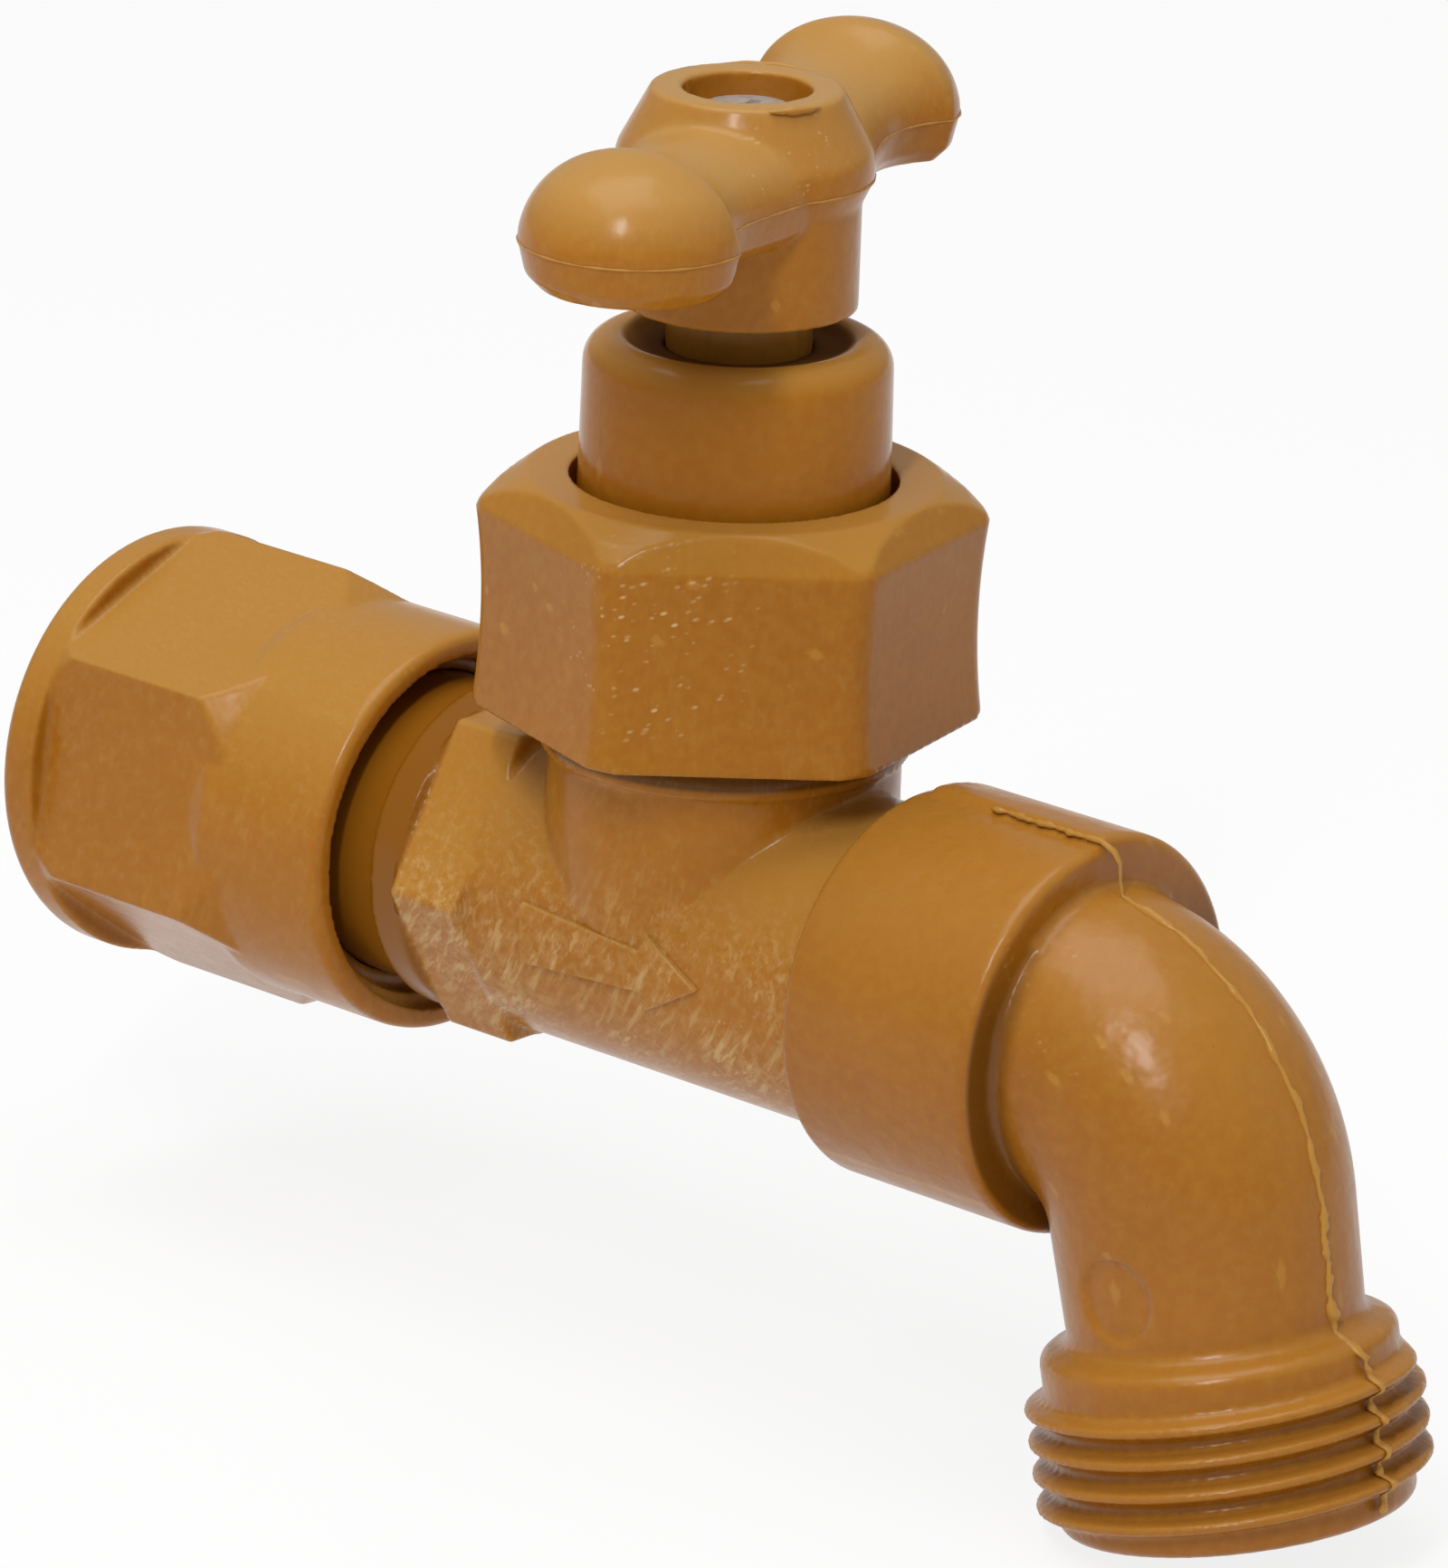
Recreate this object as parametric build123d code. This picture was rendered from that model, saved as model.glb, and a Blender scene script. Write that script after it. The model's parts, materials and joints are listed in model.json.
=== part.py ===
from build123d import *
import os
from math import cos, radians, sin, sqrt, tan

# Plastic bib tap with a compression inlet and a male hose-thread spout, in millimetres.
# The origin is the centre of the pipe socket's mouth, X runs with the flow and Z is up.

# Clearances
RUNNING = 0.05
FIT = 0.1

# Pipe socket and inlet spigot of the body
PIPE_R = 7.94
SOCKET_R = PIPE_R + FIT
SOCKET_DEPTH = 15.0
SPIGOT_R = 11.0
SPIGOT_CHAMFER = 0.6
SPIGOT_LENGTH = 19.8
BODY_COLLAR_R = 11.9
BODY_COLLAR_LENGTH = 2.9

# Body tee
SPINDLE_X = 42.0
WRENCH_HEX_CORNER_R = 13.0
WRENCH_HEX_LENGTH = 6.2
TUBE_R = 11.5
BODY_REACH = 29.4
NECK_R = 12.2
NECK_FLARE = 7.0
NECK_BEAD_R = 12.75
NECK_BEAD_Z = 12.7
NECK_BEAD_WIDTH = 1.3
NECK_THREAD_R = 12.5
NECK_TOP = 24.2

# Waterways and valve seat of the body
PIPE_STOP_BORE_R = 6.5
INLET_WAY_R = 4.5
INLET_WAY_Z = -5.0
SEAT_HOLE_R = 4.5
SEAT_RIM = 1.6
SEAT_Z = 2.5
SEAT_HEIGHT = 1.0
CHAMBER_R = 9.6
OUTLET_WAY_R = 7.0
PARTITION = 2.6

# Inlet nut
INLET_HEX_CORNER_R = 16.2
INLET_HEX_FIRST_CORNER = 83.5
INLET_HEX_LENGTH = 14.2
INLET_RIM_R = 15.6
INLET_RIM_LENGTH = 3.2
INLET_RIM_ROUND = 1.1
INLET_SKIRT_R = 14.55
INLET_SKIRT_LENGTH = 13.2
INLET_LIP_ROUND = 0.9
INLET_CORNER_SLOPE = 3.2
INLET_END_WALL = 4.4
INLET_HOLE_R = 8.4
INLET_MOUTH_R = 13.0
INLET_MOUTH_DEPTH = 1.5
INLET_STEP_R = 12.2
INLET_STEP_DEPTH = 3.2

# Grip pieces inside the inlet nut
GRIP_R = 10.8
GRAB_RING_THICKNESS = 0.8
GRAB_TEETH = 10
GRAB_SLOT = 0.9
THRUST_RING_LENGTH = 3.2
PIPE_SEAL_LENGTH = 5.0

# Spout
SPOUT_COLLAR_R = 13.6
SPOUT_SOCKET_DEPTH = 11.8
SPOUT_COLLAR_LENGTH = 16.2
SPOUT_COLLAR_ROUND = 1.3
FAR_HALF_STEP = 0.6
FAR_HALF_INSET = 0.9
ELBOW_ROOT_R = 10.9
ELBOW_R = 10.0
ELBOW_BEND_R = 11.2
ELBOW_BORE_R = 7.6
OUTLET_REACH = 16.8
OUTLET_Z = -21.0
OUTLET_TILT = 12.3
SPOUT_SEAL_DEPTH = 1.6
SPOUT_SEAL_WIDTH = 2.2
SPOUT_SEAL_SETBACK = 2.6

# Male hose thread, ridges counted along the outlet axis
THREAD_R = 13.45
THREAD_ROOT_R = 12.05
THREAD_PITCH = 2.209
THREAD_RIDGES = 4
THREAD_CREST = 0.5
THREAD_ROOT_WIDTH = 1.8
OUTLET_SHOULDER = 3.6
OUTLET_SHOULDER_ROUND = 0.7
OUTLET_BLEND = 1.2
OUTLET_END = 8.9
OUTLET_END_ROUND = 0.8

# Bonnet and its nut
FLANGE_R = 12.35
FLANGE_HEIGHT = 3.6
GASKET_THICKNESS = 0.8
GASKET_BORE_R = 10.0
BARREL_FOOT_R = 10.75
BARREL_TOP_R = 10.55
BARREL_TOP = 41.9
BARREL_ROUND = 2.0
DISH_R = 8.1
DISH_ROUND = 0.3
DISH_FLOOR_R = 6.9
DISH_DEPTH = 0.7
BONNET_SKIRT_R = 9.4
BONNET_SKIRT_END = 13.0
NUT_CORNER_R = 17.9
NUT_WAIST_CORNER_R = 17.4
NUT_CORNER_ROUND = 2.4
NUT_FACE_ANGLE = -47.7
NUT_BOTTOM = 15.2
NUT_EDGE_TOP = 29.3
NUT_TOP = 32.0
NUT_TOP_R = 14.2
NUT_TOP_TAPER = 24.0
NUT_DOME_SHARE = 0.4
NUT_FOOT_ROUND = 0.8
NUT_HOLE_R = 11.27

# Spindle
SPINDLE_THREAD_R = 7.0
SPINDLE_THREAD_TOP = 20.5
SPINDLE_SHAFT_R = 5.0
SQUARE_DRIVE = 6.0
THRUST_WASHER_THICKNESS = 0.8
LIFT = 6.0
SEAL_GROOVE_DEPTH = 1.1
SEAL_GROOVE_WIDTH = 1.9
LOWER_SEAL_Z = 29.8
UPPER_SEAL_Z = 32.4

# Valve
SEAT_WASHER_R = 6.4
SEAT_WASHER_THICKNESS = 2.8
JUMPER_R = 6.6
JUMPER_THICKNESS = 2.2
JUMPER_STEM_R = 3.0
JUMPER_STEM_LENGTH = 8.0
WASHER_SCREW_R = 1.5
WASHER_SCREW_LENGTH = 7.0
WASHER_SCREW_HEAD_R = 3.2
WASHER_SCREW_HEAD_HEIGHT = 1.2

# Tee handle
HANDLE_ANGLE = 110.0
HANDLE_SKIRT_R = 8.0
HANDLE_GAP = 2.2
HANDLE_SKIRT_BORE_R = 6.4
HANDLE_SKIRT_BORE_DEPTH = 2.5
HANDLE_SKIRT_SPARE = 0.6
HANDLE_PARTING_Z = 53.2
HANDLE_UNDERSIDE = 3.1
HANDLE_DRAFT = 0.5
HANDLE_EDGE = 1.0
HUB_HEIGHT = 6.0
HUB_TOP_R = 6.5
HUB_R = 8.8
HUB_SHOULDER = 4.3
HUB_UNDERCUT = 1.7
LOBE_R = 7.6
LOBE_HEIGHT = 6.3
LOBE_SPACING = 39.6
WAIST_PLACE = 11.5
WAIST_HALF_WIDTH = 5.4
WAIST_HEIGHT = 4.2
BAR_HALF_WIDTH = 7.4
BAR_HEIGHT = 5.0
HUB_RECESS_R = 4.4
HUB_RECESS_DEPTH = 3.3
HUB_FLOOR = 1.9

# Handle screw
SCREW_R = 1.5
SCREW_LENGTH = 8.0
SCREW_HEAD_R = 3.7
SCREW_HEAD_HEIGHT = 1.9
SCREW_HEAD_DOME = 0.7
CROSS_LENGTH = 3.6
CROSS_WIDTH = 0.8
CROSS_DEPTH = 1.0

# Places that follow from the sizes above
WRENCH_HEX_START = SPIGOT_LENGTH + BODY_COLLAR_LENGTH
WRENCH_HEX_END = WRENCH_HEX_START + WRENCH_HEX_LENGTH
BODY_END = SPINDLE_X + BODY_REACH
SPOUT_START = BODY_END - SPOUT_SOCKET_DEPTH
SPOUT_COLLAR_END = SPOUT_START + SPOUT_COLLAR_LENGTH
SPOUT_SOCKET_R = TUBE_R + FIT
SPOUT_GROOVE_END = BODY_END - SPOUT_SEAL_SETBACK
SPOUT_GROOVE_START = SPOUT_GROOVE_END - SPOUT_SEAL_WIDTH
NUT_THREAD_R = SPIGOT_R + RUNNING
GRIP_START = -PIPE_SEAL_LENGTH - THRUST_RING_LENGTH - GRAB_RING_THICKNESS
INLET_NUT_START = GRIP_START - INLET_END_WALL
GRIP_BORE_R = INLET_HOLE_R
INLET_HEX_START = INLET_NUT_START + INLET_RIM_LENGTH
INLET_HEX_END = INLET_HEX_START + INLET_HEX_LENGTH
INLET_NUT_END = INLET_HEX_END + INLET_SKIRT_LENGTH
FLANGE_BOTTOM = NECK_TOP + GASKET_THICKNESS
FLANGE_TOP = FLANGE_BOTTOM + FLANGE_HEIGHT
BONNET_NUT_BORE_R = NECK_THREAD_R + FIT
WASHER_TOP = SEAT_Z + SEAT_WASHER_THICKNESS
SPINDLE_BOTTOM = WASHER_TOP + JUMPER_THICKNESS
BONNET_SHOULDER = SPINDLE_THREAD_TOP + THRUST_WASHER_THICKNESS + LIFT + FIT
GLAND_R = SPINDLE_SHAFT_R + RUNNING
SEAL_GROOVE_R = SPINDLE_SHAFT_R - SEAL_GROOVE_DEPTH
SEAL_R = SPINDLE_SHAFT_R + RUNNING / 2
HANDLE_SKIRT_BOTTOM = BARREL_TOP + HANDLE_GAP
HUB_TOP_Z = HANDLE_PARTING_Z + HUB_HEIGHT
SCREW_SEAT_Z = HUB_TOP_Z - HUB_RECESS_DEPTH
SPINDLE_TOP = SCREW_SEAT_Z - HUB_FLOOR
SPINDLE_SHAFT_TOP = HANDLE_SKIRT_BOTTOM + HANDLE_SKIRT_BORE_DEPTH - HANDLE_SKIRT_SPARE
LOBE_PLACE = LOBE_SPACING / 2


# Shape helpers


def turned(profile):
    """Solid of revolution about the spindle axis, from (radius, height) points."""
    outline = Polyline(*[(radius, 0, height) for radius, height in profile], close=True)
    return Pos(SPINDLE_X, 0, 0) * revolve(make_face(outline), Axis.Z)


def turned_on_pipe(profile):
    """Solid of revolution about the pipe axis, from (place, radius) points."""
    outline = Polyline(*[(place, radius, 0) for place, radius in profile], close=True)
    return revolve(make_face(outline), Axis.X)


def pipe_ring(start, end, outer, inner):
    """Plain ring on the pipe axis."""
    return turned_on_pipe([(start, inner), (start, outer), (end, outer), (end, inner)])


def pipe_rod(start, end, radius, height=0.0):
    """Cylinder along the flow, at a height over the pipe axis."""
    rod = Solid.make_cylinder(radius, end - start, Plane((start, 0, height), z_dir=(1, 0, 0)))
    return Part() + rod


def spindle_rod(bottom, top, radius):
    """Cylinder on the spindle axis."""
    return Part() + Solid.make_cylinder(radius, top - bottom, Plane((SPINDLE_X, 0, bottom)))


def spindle_ring(bottom, top, outer, inner):
    """Plain ring on the spindle axis."""
    return turned([(inner, bottom), (outer, bottom), (outer, top), (inner, top)])


def hexagon_on_pipe(start, end, corner_r, first_corner):
    """Hexagon bar on the pipe axis, its first corner turned from +Y towards +Z."""
    section = Plane((start, 0, 0), x_dir=(0, 1, 0), z_dir=(1, 0, 0)) * RegularPolygon(
        corner_r, 6, rotation=first_corner
    )
    return extrude(section, end - start)


# Body and inlet


def make_tap_body():
    spigot = turned_on_pipe(
        [
            (0, 0),
            (0, SPIGOT_R - SPIGOT_CHAMFER),
            (SPIGOT_CHAMFER, SPIGOT_R),
            (SPIGOT_LENGTH, SPIGOT_R),
            (SPIGOT_LENGTH, BODY_COLLAR_R),
            (WRENCH_HEX_START, BODY_COLLAR_R),
            (WRENCH_HEX_START, 0),
        ]
    )
    flats = hexagon_on_pipe(WRENCH_HEX_START, WRENCH_HEX_END, WRENCH_HEX_CORNER_R, 0)
    groove_r = TUBE_R - SPOUT_SEAL_DEPTH
    tube = pipe_rod(WRENCH_HEX_END, BODY_END, TUBE_R)
    tube -= pipe_ring(SPOUT_GROOVE_START, SPOUT_GROOVE_END, TUBE_R + FIT, groove_r)
    bead_top = NECK_BEAD_Z + NECK_BEAD_WIDTH
    neck = turned(
        [
            (0, 0),
            (TUBE_R - RUNNING, 0),
            (NECK_R, NECK_FLARE),
            (NECK_R, NECK_BEAD_Z),
            (NECK_BEAD_R, NECK_BEAD_Z),
            (NECK_BEAD_R, bead_top),
            (NECK_THREAD_R, bead_top),
            (NECK_THREAD_R, NECK_TOP),
            (0, NECK_TOP),
        ]
    )
    body = spigot + flats + tube + neck
    return body - make_waterway()


def make_waterway():
    """Bores of the body: up through the valve seat, then out to the spout."""
    inlet_end = SPINDLE_X + SEAT_HOLE_R
    chamber_floor = SEAT_Z - SEAT_HEIGHT
    way = pipe_rod(0, SOCKET_DEPTH, SOCKET_R)
    way += pipe_rod(0, WRENCH_HEX_START, PIPE_STOP_BORE_R)
    way += pipe_rod(SOCKET_DEPTH, inlet_end, INLET_WAY_R, INLET_WAY_Z)
    way += spindle_rod(INLET_WAY_Z, SEAT_Z, SEAT_HOLE_R)
    chamber = spindle_rod(chamber_floor, NECK_TOP, CHAMBER_R)
    chamber -= spindle_ring(chamber_floor, SEAT_Z, SEAT_HOLE_R + SEAT_RIM, SEAT_HOLE_R)
    return way + chamber + pipe_rod(inlet_end + PARTITION, BODY_END, OUTLET_WAY_R)


def make_inlet_nut():
    cut_back = INLET_HEX_CORNER_R - INLET_SKIRT_R
    envelope = turned_on_pipe(
        [
            (INLET_HEX_START, 0),
            (INLET_HEX_START, INLET_RIM_R),
            (INLET_HEX_START + cut_back, INLET_HEX_CORNER_R),
            (INLET_HEX_END, INLET_HEX_CORNER_R),
            (INLET_HEX_END + INLET_CORNER_SLOPE, INLET_SKIRT_R),
            (INLET_HEX_END + INLET_CORNER_SLOPE, 0),
        ]
    )
    hexagon = hexagon_on_pipe(
        INLET_HEX_START,
        INLET_HEX_END + INLET_CORNER_SLOPE,
        INLET_HEX_CORNER_R,
        INLET_HEX_FIRST_CORNER,
    )
    rim = pipe_rod(INLET_NUT_START, INLET_HEX_START, INLET_RIM_R)
    rim = fillet(rim.edges().filter_by(GeomType.CIRCLE).sort_by(Axis.X)[0], INLET_RIM_ROUND)
    flat_r = INLET_HEX_CORNER_R * cos(radians(30))
    skirt = turned_on_pipe(
        [
            (INLET_HEX_START, 0),
            (INLET_HEX_START, flat_r - FIT),
            (INLET_HEX_END, flat_r - FIT),
            (INLET_HEX_END + cut_back, INLET_SKIRT_R),
            (INLET_NUT_END, INLET_SKIRT_R),
            (INLET_NUT_END, 0),
        ]
    )
    lip = skirt.edges().filter_by(GeomType.CIRCLE).sort_by(Axis.X)[-1]
    nut = (hexagon & envelope) + rim + fillet(lip, INLET_LIP_ROUND)
    nut -= pipe_rod(INLET_NUT_START, INLET_NUT_END, INLET_HOLE_R)
    nut -= pipe_rod(GRIP_START, INLET_NUT_END, NUT_THREAD_R)
    nut -= pipe_rod(INLET_NUT_END - INLET_STEP_DEPTH, INLET_NUT_END, INLET_STEP_R)
    return nut - pipe_rod(INLET_NUT_END - INLET_MOUTH_DEPTH, INLET_NUT_END, INLET_MOUTH_R)


def make_grab_ring():
    """Thin steel ring whose slots leave teeth round the pipe."""
    ring = pipe_ring(GRIP_START, GRIP_START + GRAB_RING_THICKNESS, GRIP_R, GRIP_BORE_R)
    slot_depth = (GRIP_R - GRIP_BORE_R) / 2
    slot = Box(GRAB_RING_THICKNESS, GRAB_SLOT, 2 * slot_depth)
    for tooth in range(GRAB_TEETH):
        place = Pos(GRIP_START + GRAB_RING_THICKNESS / 2, 0, GRIP_BORE_R)
        ring -= Rot(tooth * 360 / GRAB_TEETH, 0, 0) * place * slot
    return ring


def make_thrust_ring():
    start = GRIP_START + GRAB_RING_THICKNESS
    return pipe_ring(start, start + THRUST_RING_LENGTH, GRIP_R, GRIP_BORE_R)


def make_pipe_seal():
    return pipe_ring(-PIPE_SEAL_LENGTH, 0, GRIP_R, GRIP_BORE_R)


# Spout


def outlet_plane():
    """Frame of the outlet: its Z runs down the outlet axis, from the first thread ridge."""
    tilt = radians(OUTLET_TILT)
    return Plane(
        (BODY_END + OUTLET_REACH, 0, OUTLET_Z),
        x_dir=(cos(tilt), 0, sin(tilt)),
        z_dir=(sin(tilt), 0, -cos(tilt)),
    )


def elbow_path(start, end_depth):
    """Centre line of the spout: along the pipe axis, round the bend, down the outlet axis."""
    plane = outlet_plane()
    corner_x = plane.origin.X + OUTLET_Z * tan(radians(OUTLET_TILT))
    end = plane.from_local_coords(Vector(0, 0, end_depth))
    return FilletPolyline((start, 0, 0), (corner_x, 0, 0), (end.X, 0, end.Z), radius=ELBOW_BEND_R)


def pipe_along(path, start_r, end_r):
    """Round bar along a path, tapered from one radius to the other."""
    first = Plane(path @ 0, z_dir=path % 0) * Circle(start_r)
    last = Plane(path @ 1, z_dir=path % 1) * Circle(end_r)
    return sweep([first, last], path, multisection=True)


def outlet_profile():
    """Half section of the threaded outlet, as (radius, depth) points under the elbow."""
    shoulder = -OUTLET_SHOULDER
    points = [
        (ELBOW_BORE_R, shoulder - OUTLET_BLEND),
        (ELBOW_R, shoulder - OUTLET_BLEND),
        (ELBOW_R + OUTLET_BLEND * (1 - sqrt(0.5)), shoulder - OUTLET_BLEND * (1 - sqrt(0.5))),
        (THREAD_ROOT_R - OUTLET_SHOULDER_ROUND, shoulder),
        (THREAD_ROOT_R, shoulder + OUTLET_SHOULDER_ROUND),
    ]
    for ridge in range(THREAD_RIDGES):
        middle = ridge * THREAD_PITCH
        points += [
            (THREAD_ROOT_R, middle - THREAD_ROOT_WIDTH / 2),
            (THREAD_R, middle - THREAD_CREST / 2),
            (THREAD_R, middle + THREAD_CREST / 2),
            (THREAD_ROOT_R, middle + THREAD_ROOT_WIDTH / 2),
        ]
    points += [
        (THREAD_ROOT_R, OUTLET_END - OUTLET_END_ROUND),
        (THREAD_ROOT_R - OUTLET_END_ROUND, OUTLET_END),
        (ELBOW_BORE_R, OUTLET_END),
    ]
    return points


def make_spout():
    collar = pipe_rod(SPOUT_START, SPOUT_COLLAR_END, SPOUT_COLLAR_R)
    collar = fillet(collar.edges().filter_by(GeomType.CIRCLE).sort_by(Axis.X)[-1], SPOUT_COLLAR_ROUND)
    far_r = SPOUT_COLLAR_R + FAR_HALF_STEP
    far_half = pipe_rod(SPOUT_START + FAR_HALF_INSET, SPOUT_COLLAR_END, far_r)
    rim = far_half.edges().filter_by(GeomType.CIRCLE).sort_by(Axis.X)[-1]
    far_half = fillet(rim, SPOUT_COLLAR_ROUND)
    far_side = Pos((SPOUT_START + SPOUT_COLLAR_END) / 2, far_r, 0) * Box(
        2 * SPOUT_COLLAR_LENGTH, 2 * far_r, 4 * far_r
    )
    collar += far_half & far_side
    path = elbow_path(BODY_END, -OUTLET_SHOULDER)
    outline = Polyline(*[(radius, 0, depth) for radius, depth in outlet_profile()], close=True)
    outlet = outlet_plane() * revolve(make_face(outline), Axis.Z)
    spout = collar + pipe_along(path, ELBOW_ROOT_R, ELBOW_R) + outlet
    spout -= pipe_rod(SPOUT_START, BODY_END, SPOUT_SOCKET_R)
    return spout - pipe_along(elbow_path(BODY_END, OUTLET_END), ELBOW_BORE_R, ELBOW_BORE_R)


def make_spout_seal():
    return pipe_ring(SPOUT_GROOVE_START, SPOUT_GROOVE_END, TUBE_R, TUBE_R - SPOUT_SEAL_DEPTH)


# Bonnet and its nut


def make_bonnet():
    bonnet = turned(
        [
            (SPINDLE_THREAD_R + RUNNING, BONNET_SKIRT_END),
            (BONNET_SKIRT_R, BONNET_SKIRT_END),
            (BONNET_SKIRT_R, FLANGE_BOTTOM),
            (FLANGE_R, FLANGE_BOTTOM),
            (FLANGE_R, FLANGE_TOP),
            (BARREL_FOOT_R, FLANGE_TOP),
            (BARREL_TOP_R, BARREL_TOP),
            (DISH_R, BARREL_TOP),
            (DISH_FLOOR_R, BARREL_TOP - DISH_DEPTH),
            (GLAND_R, BARREL_TOP - DISH_DEPTH),
            (GLAND_R, BONNET_SHOULDER),
            (SPINDLE_THREAD_R + RUNNING, BONNET_SHOULDER),
        ]
    )
    rim = bonnet.edges().filter_by(GeomType.CIRCLE).group_by(Axis.Z)[-1]
    bonnet = fillet(rim.sort_by(SortBy.RADIUS)[-1], BARREL_ROUND)
    rim = bonnet.edges().filter_by(GeomType.CIRCLE).group_by(Axis.Z)[-1]
    return fillet(rim.sort_by(SortBy.RADIUS)[0], DISH_ROUND)


def make_bonnet_gasket():
    return spindle_ring(NECK_TOP, FLANGE_BOTTOM, FLANGE_R, GASKET_BORE_R)


def rounded_hexagon(corner_r, turn):
    hexagon = RegularPolygon(corner_r, 6, rotation=turn)
    return fillet(hexagon.vertices(), NUT_CORNER_ROUND)


def make_bonnet_nut():
    """Hexagon nut with flats drawn in at mid-height and a domed top."""
    corner_turn = NUT_FACE_ANGLE + 30
    levels = [
        (NUT_BOTTOM, NUT_CORNER_R),
        ((NUT_BOTTOM + NUT_EDGE_TOP) / 2, NUT_WAIST_CORNER_R),
        (NUT_EDGE_TOP, NUT_CORNER_R),
    ]
    sections = [
        Pos(SPINDLE_X, 0, height) * rounded_hexagon(corner_r, corner_turn) for height, corner_r in levels
    ]
    cap = extrude(sections[-1], NUT_TOP - NUT_EDGE_TOP, taper=NUT_TOP_TAPER)
    dome_drop = NUT_TOP - NUT_EDGE_TOP
    envelope = turned(
        [
            (0, NUT_BOTTOM),
            (NUT_CORNER_R - NUT_FOOT_ROUND, NUT_BOTTOM),
            (NUT_CORNER_R, NUT_BOTTOM + NUT_FOOT_ROUND),
            (NUT_CORNER_R, NUT_TOP - dome_drop),
            ((NUT_CORNER_R + NUT_TOP_R) / 2, NUT_TOP - dome_drop * NUT_DOME_SHARE),
            (NUT_TOP_R, NUT_TOP),
            (0, NUT_TOP),
        ]
    )
    nut = (loft(sections) + cap) & envelope
    nut -= spindle_rod(NUT_BOTTOM, FLANGE_TOP, BONNET_NUT_BORE_R)
    return nut - spindle_rod(FLANGE_TOP, NUT_TOP, NUT_HOLE_R)


# Spindle, valve and seals


def make_spindle():
    half = SEAL_GROOVE_WIDTH / 2
    profile = [(0, SPINDLE_BOTTOM), (SPINDLE_THREAD_R, SPINDLE_BOTTOM)]
    profile += [(SPINDLE_THREAD_R, SPINDLE_THREAD_TOP), (SPINDLE_SHAFT_R, SPINDLE_THREAD_TOP)]
    for height in (LOWER_SEAL_Z, UPPER_SEAL_Z):
        profile += [
            (SPINDLE_SHAFT_R, height - half),
            (SEAL_GROOVE_R, height - half),
            (SEAL_GROOVE_R, height + half),
            (SPINDLE_SHAFT_R, height + half),
        ]
    profile += [(SPINDLE_SHAFT_R, SPINDLE_SHAFT_TOP), (0, SPINDLE_SHAFT_TOP)]
    drive_height = SPINDLE_TOP - SPINDLE_SHAFT_TOP
    drive = Pos(SPINDLE_X, 0, SPINDLE_SHAFT_TOP + drive_height / 2) * Rot(0, 0, HANDLE_ANGLE)
    spindle = turned(profile) + drive * Box(SQUARE_DRIVE, SQUARE_DRIVE, drive_height)
    stem_hole_top = SPINDLE_BOTTOM + JUMPER_STEM_LENGTH + FIT
    spindle -= spindle_rod(SPINDLE_BOTTOM, stem_hole_top, JUMPER_STEM_R + RUNNING)
    return spindle - spindle_rod(SCREW_SEAT_Z - SCREW_LENGTH - FIT, SPINDLE_TOP, SCREW_R + RUNNING)


def make_spindle_seal(height):
    half = SEAL_GROOVE_WIDTH / 2
    return spindle_ring(height - half, height + half, SEAL_R, SEAL_GROOVE_R)


def make_thrust_washer():
    top = SPINDLE_THREAD_TOP + THRUST_WASHER_THICKNESS
    return spindle_ring(SPINDLE_THREAD_TOP, top, SPINDLE_THREAD_R - FIT, SPINDLE_SHAFT_R + RUNNING)


def make_jumper():
    return turned(
        [
            (WASHER_SCREW_R + RUNNING, WASHER_TOP),
            (JUMPER_R, WASHER_TOP),
            (JUMPER_R, SPINDLE_BOTTOM),
            (JUMPER_STEM_R, SPINDLE_BOTTOM),
            (JUMPER_STEM_R, SPINDLE_BOTTOM + JUMPER_STEM_LENGTH),
            (0, SPINDLE_BOTTOM + JUMPER_STEM_LENGTH),
            (0, SEAT_Z + WASHER_SCREW_LENGTH + FIT),
            (WASHER_SCREW_R + RUNNING, SEAT_Z + WASHER_SCREW_LENGTH + FIT),
        ]
    )


def make_seat_washer():
    return spindle_ring(SEAT_Z, WASHER_TOP, SEAT_WASHER_R, WASHER_SCREW_R + RUNNING)


def make_washer_screw():
    return turned(
        [
            (0, SEAT_Z - WASHER_SCREW_HEAD_HEIGHT),
            (WASHER_SCREW_HEAD_R, SEAT_Z - WASHER_SCREW_HEAD_HEIGHT),
            (WASHER_SCREW_HEAD_R, SEAT_Z),
            (WASHER_SCREW_R, SEAT_Z),
            (WASHER_SCREW_R, SEAT_Z + WASHER_SCREW_LENGTH),
            (0, SEAT_Z + WASHER_SCREW_LENGTH),
        ]
    )


# Handle and its screw


def underside_points(half_width):
    """Edge of the handle under its parting line: drafted, with a broken lower edge."""
    foot = half_width - HANDLE_DRAFT
    return [
        (half_width, 0),
        (foot, HANDLE_EDGE - HANDLE_UNDERSIDE),
        (foot - HANDLE_EDGE, -HANDLE_UNDERSIDE),
    ]


def bar_section(place, half_width, height):
    """Cross-section of the handle bar: domed above the parting line, drafted below it."""
    plane = Plane((place, 0, HANDLE_PARTING_Z), x_dir=(0, 1, 0), z_dir=(1, 0, 0))
    dome = EllipticalCenterArc((0, 0), half_width, height, arc_size=180)
    near_side = underside_points(half_width)
    far_side = [(-across, up) for across, up in near_side]
    return plane * make_face(dome + Polyline(*far_side, *reversed(near_side)))


def make_lobe():
    """Outer half of one end of the bar, round in plan."""
    dome = EllipticalCenterArc((0, 0), LOBE_R, LOBE_HEIGHT, arc_size=90)
    axis = [(0, LOBE_HEIGHT), (0, -HANDLE_UNDERSIDE)]
    base = Polyline(*axis, *reversed(underside_points(LOBE_R)))
    plane = Plane((0, 0, HANDLE_PARTING_Z), x_dir=(0, -1, 0), z_dir=(-1, 0, 0))
    return revolve(plane * make_face(dome + base), Axis.Z, 180)


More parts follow.
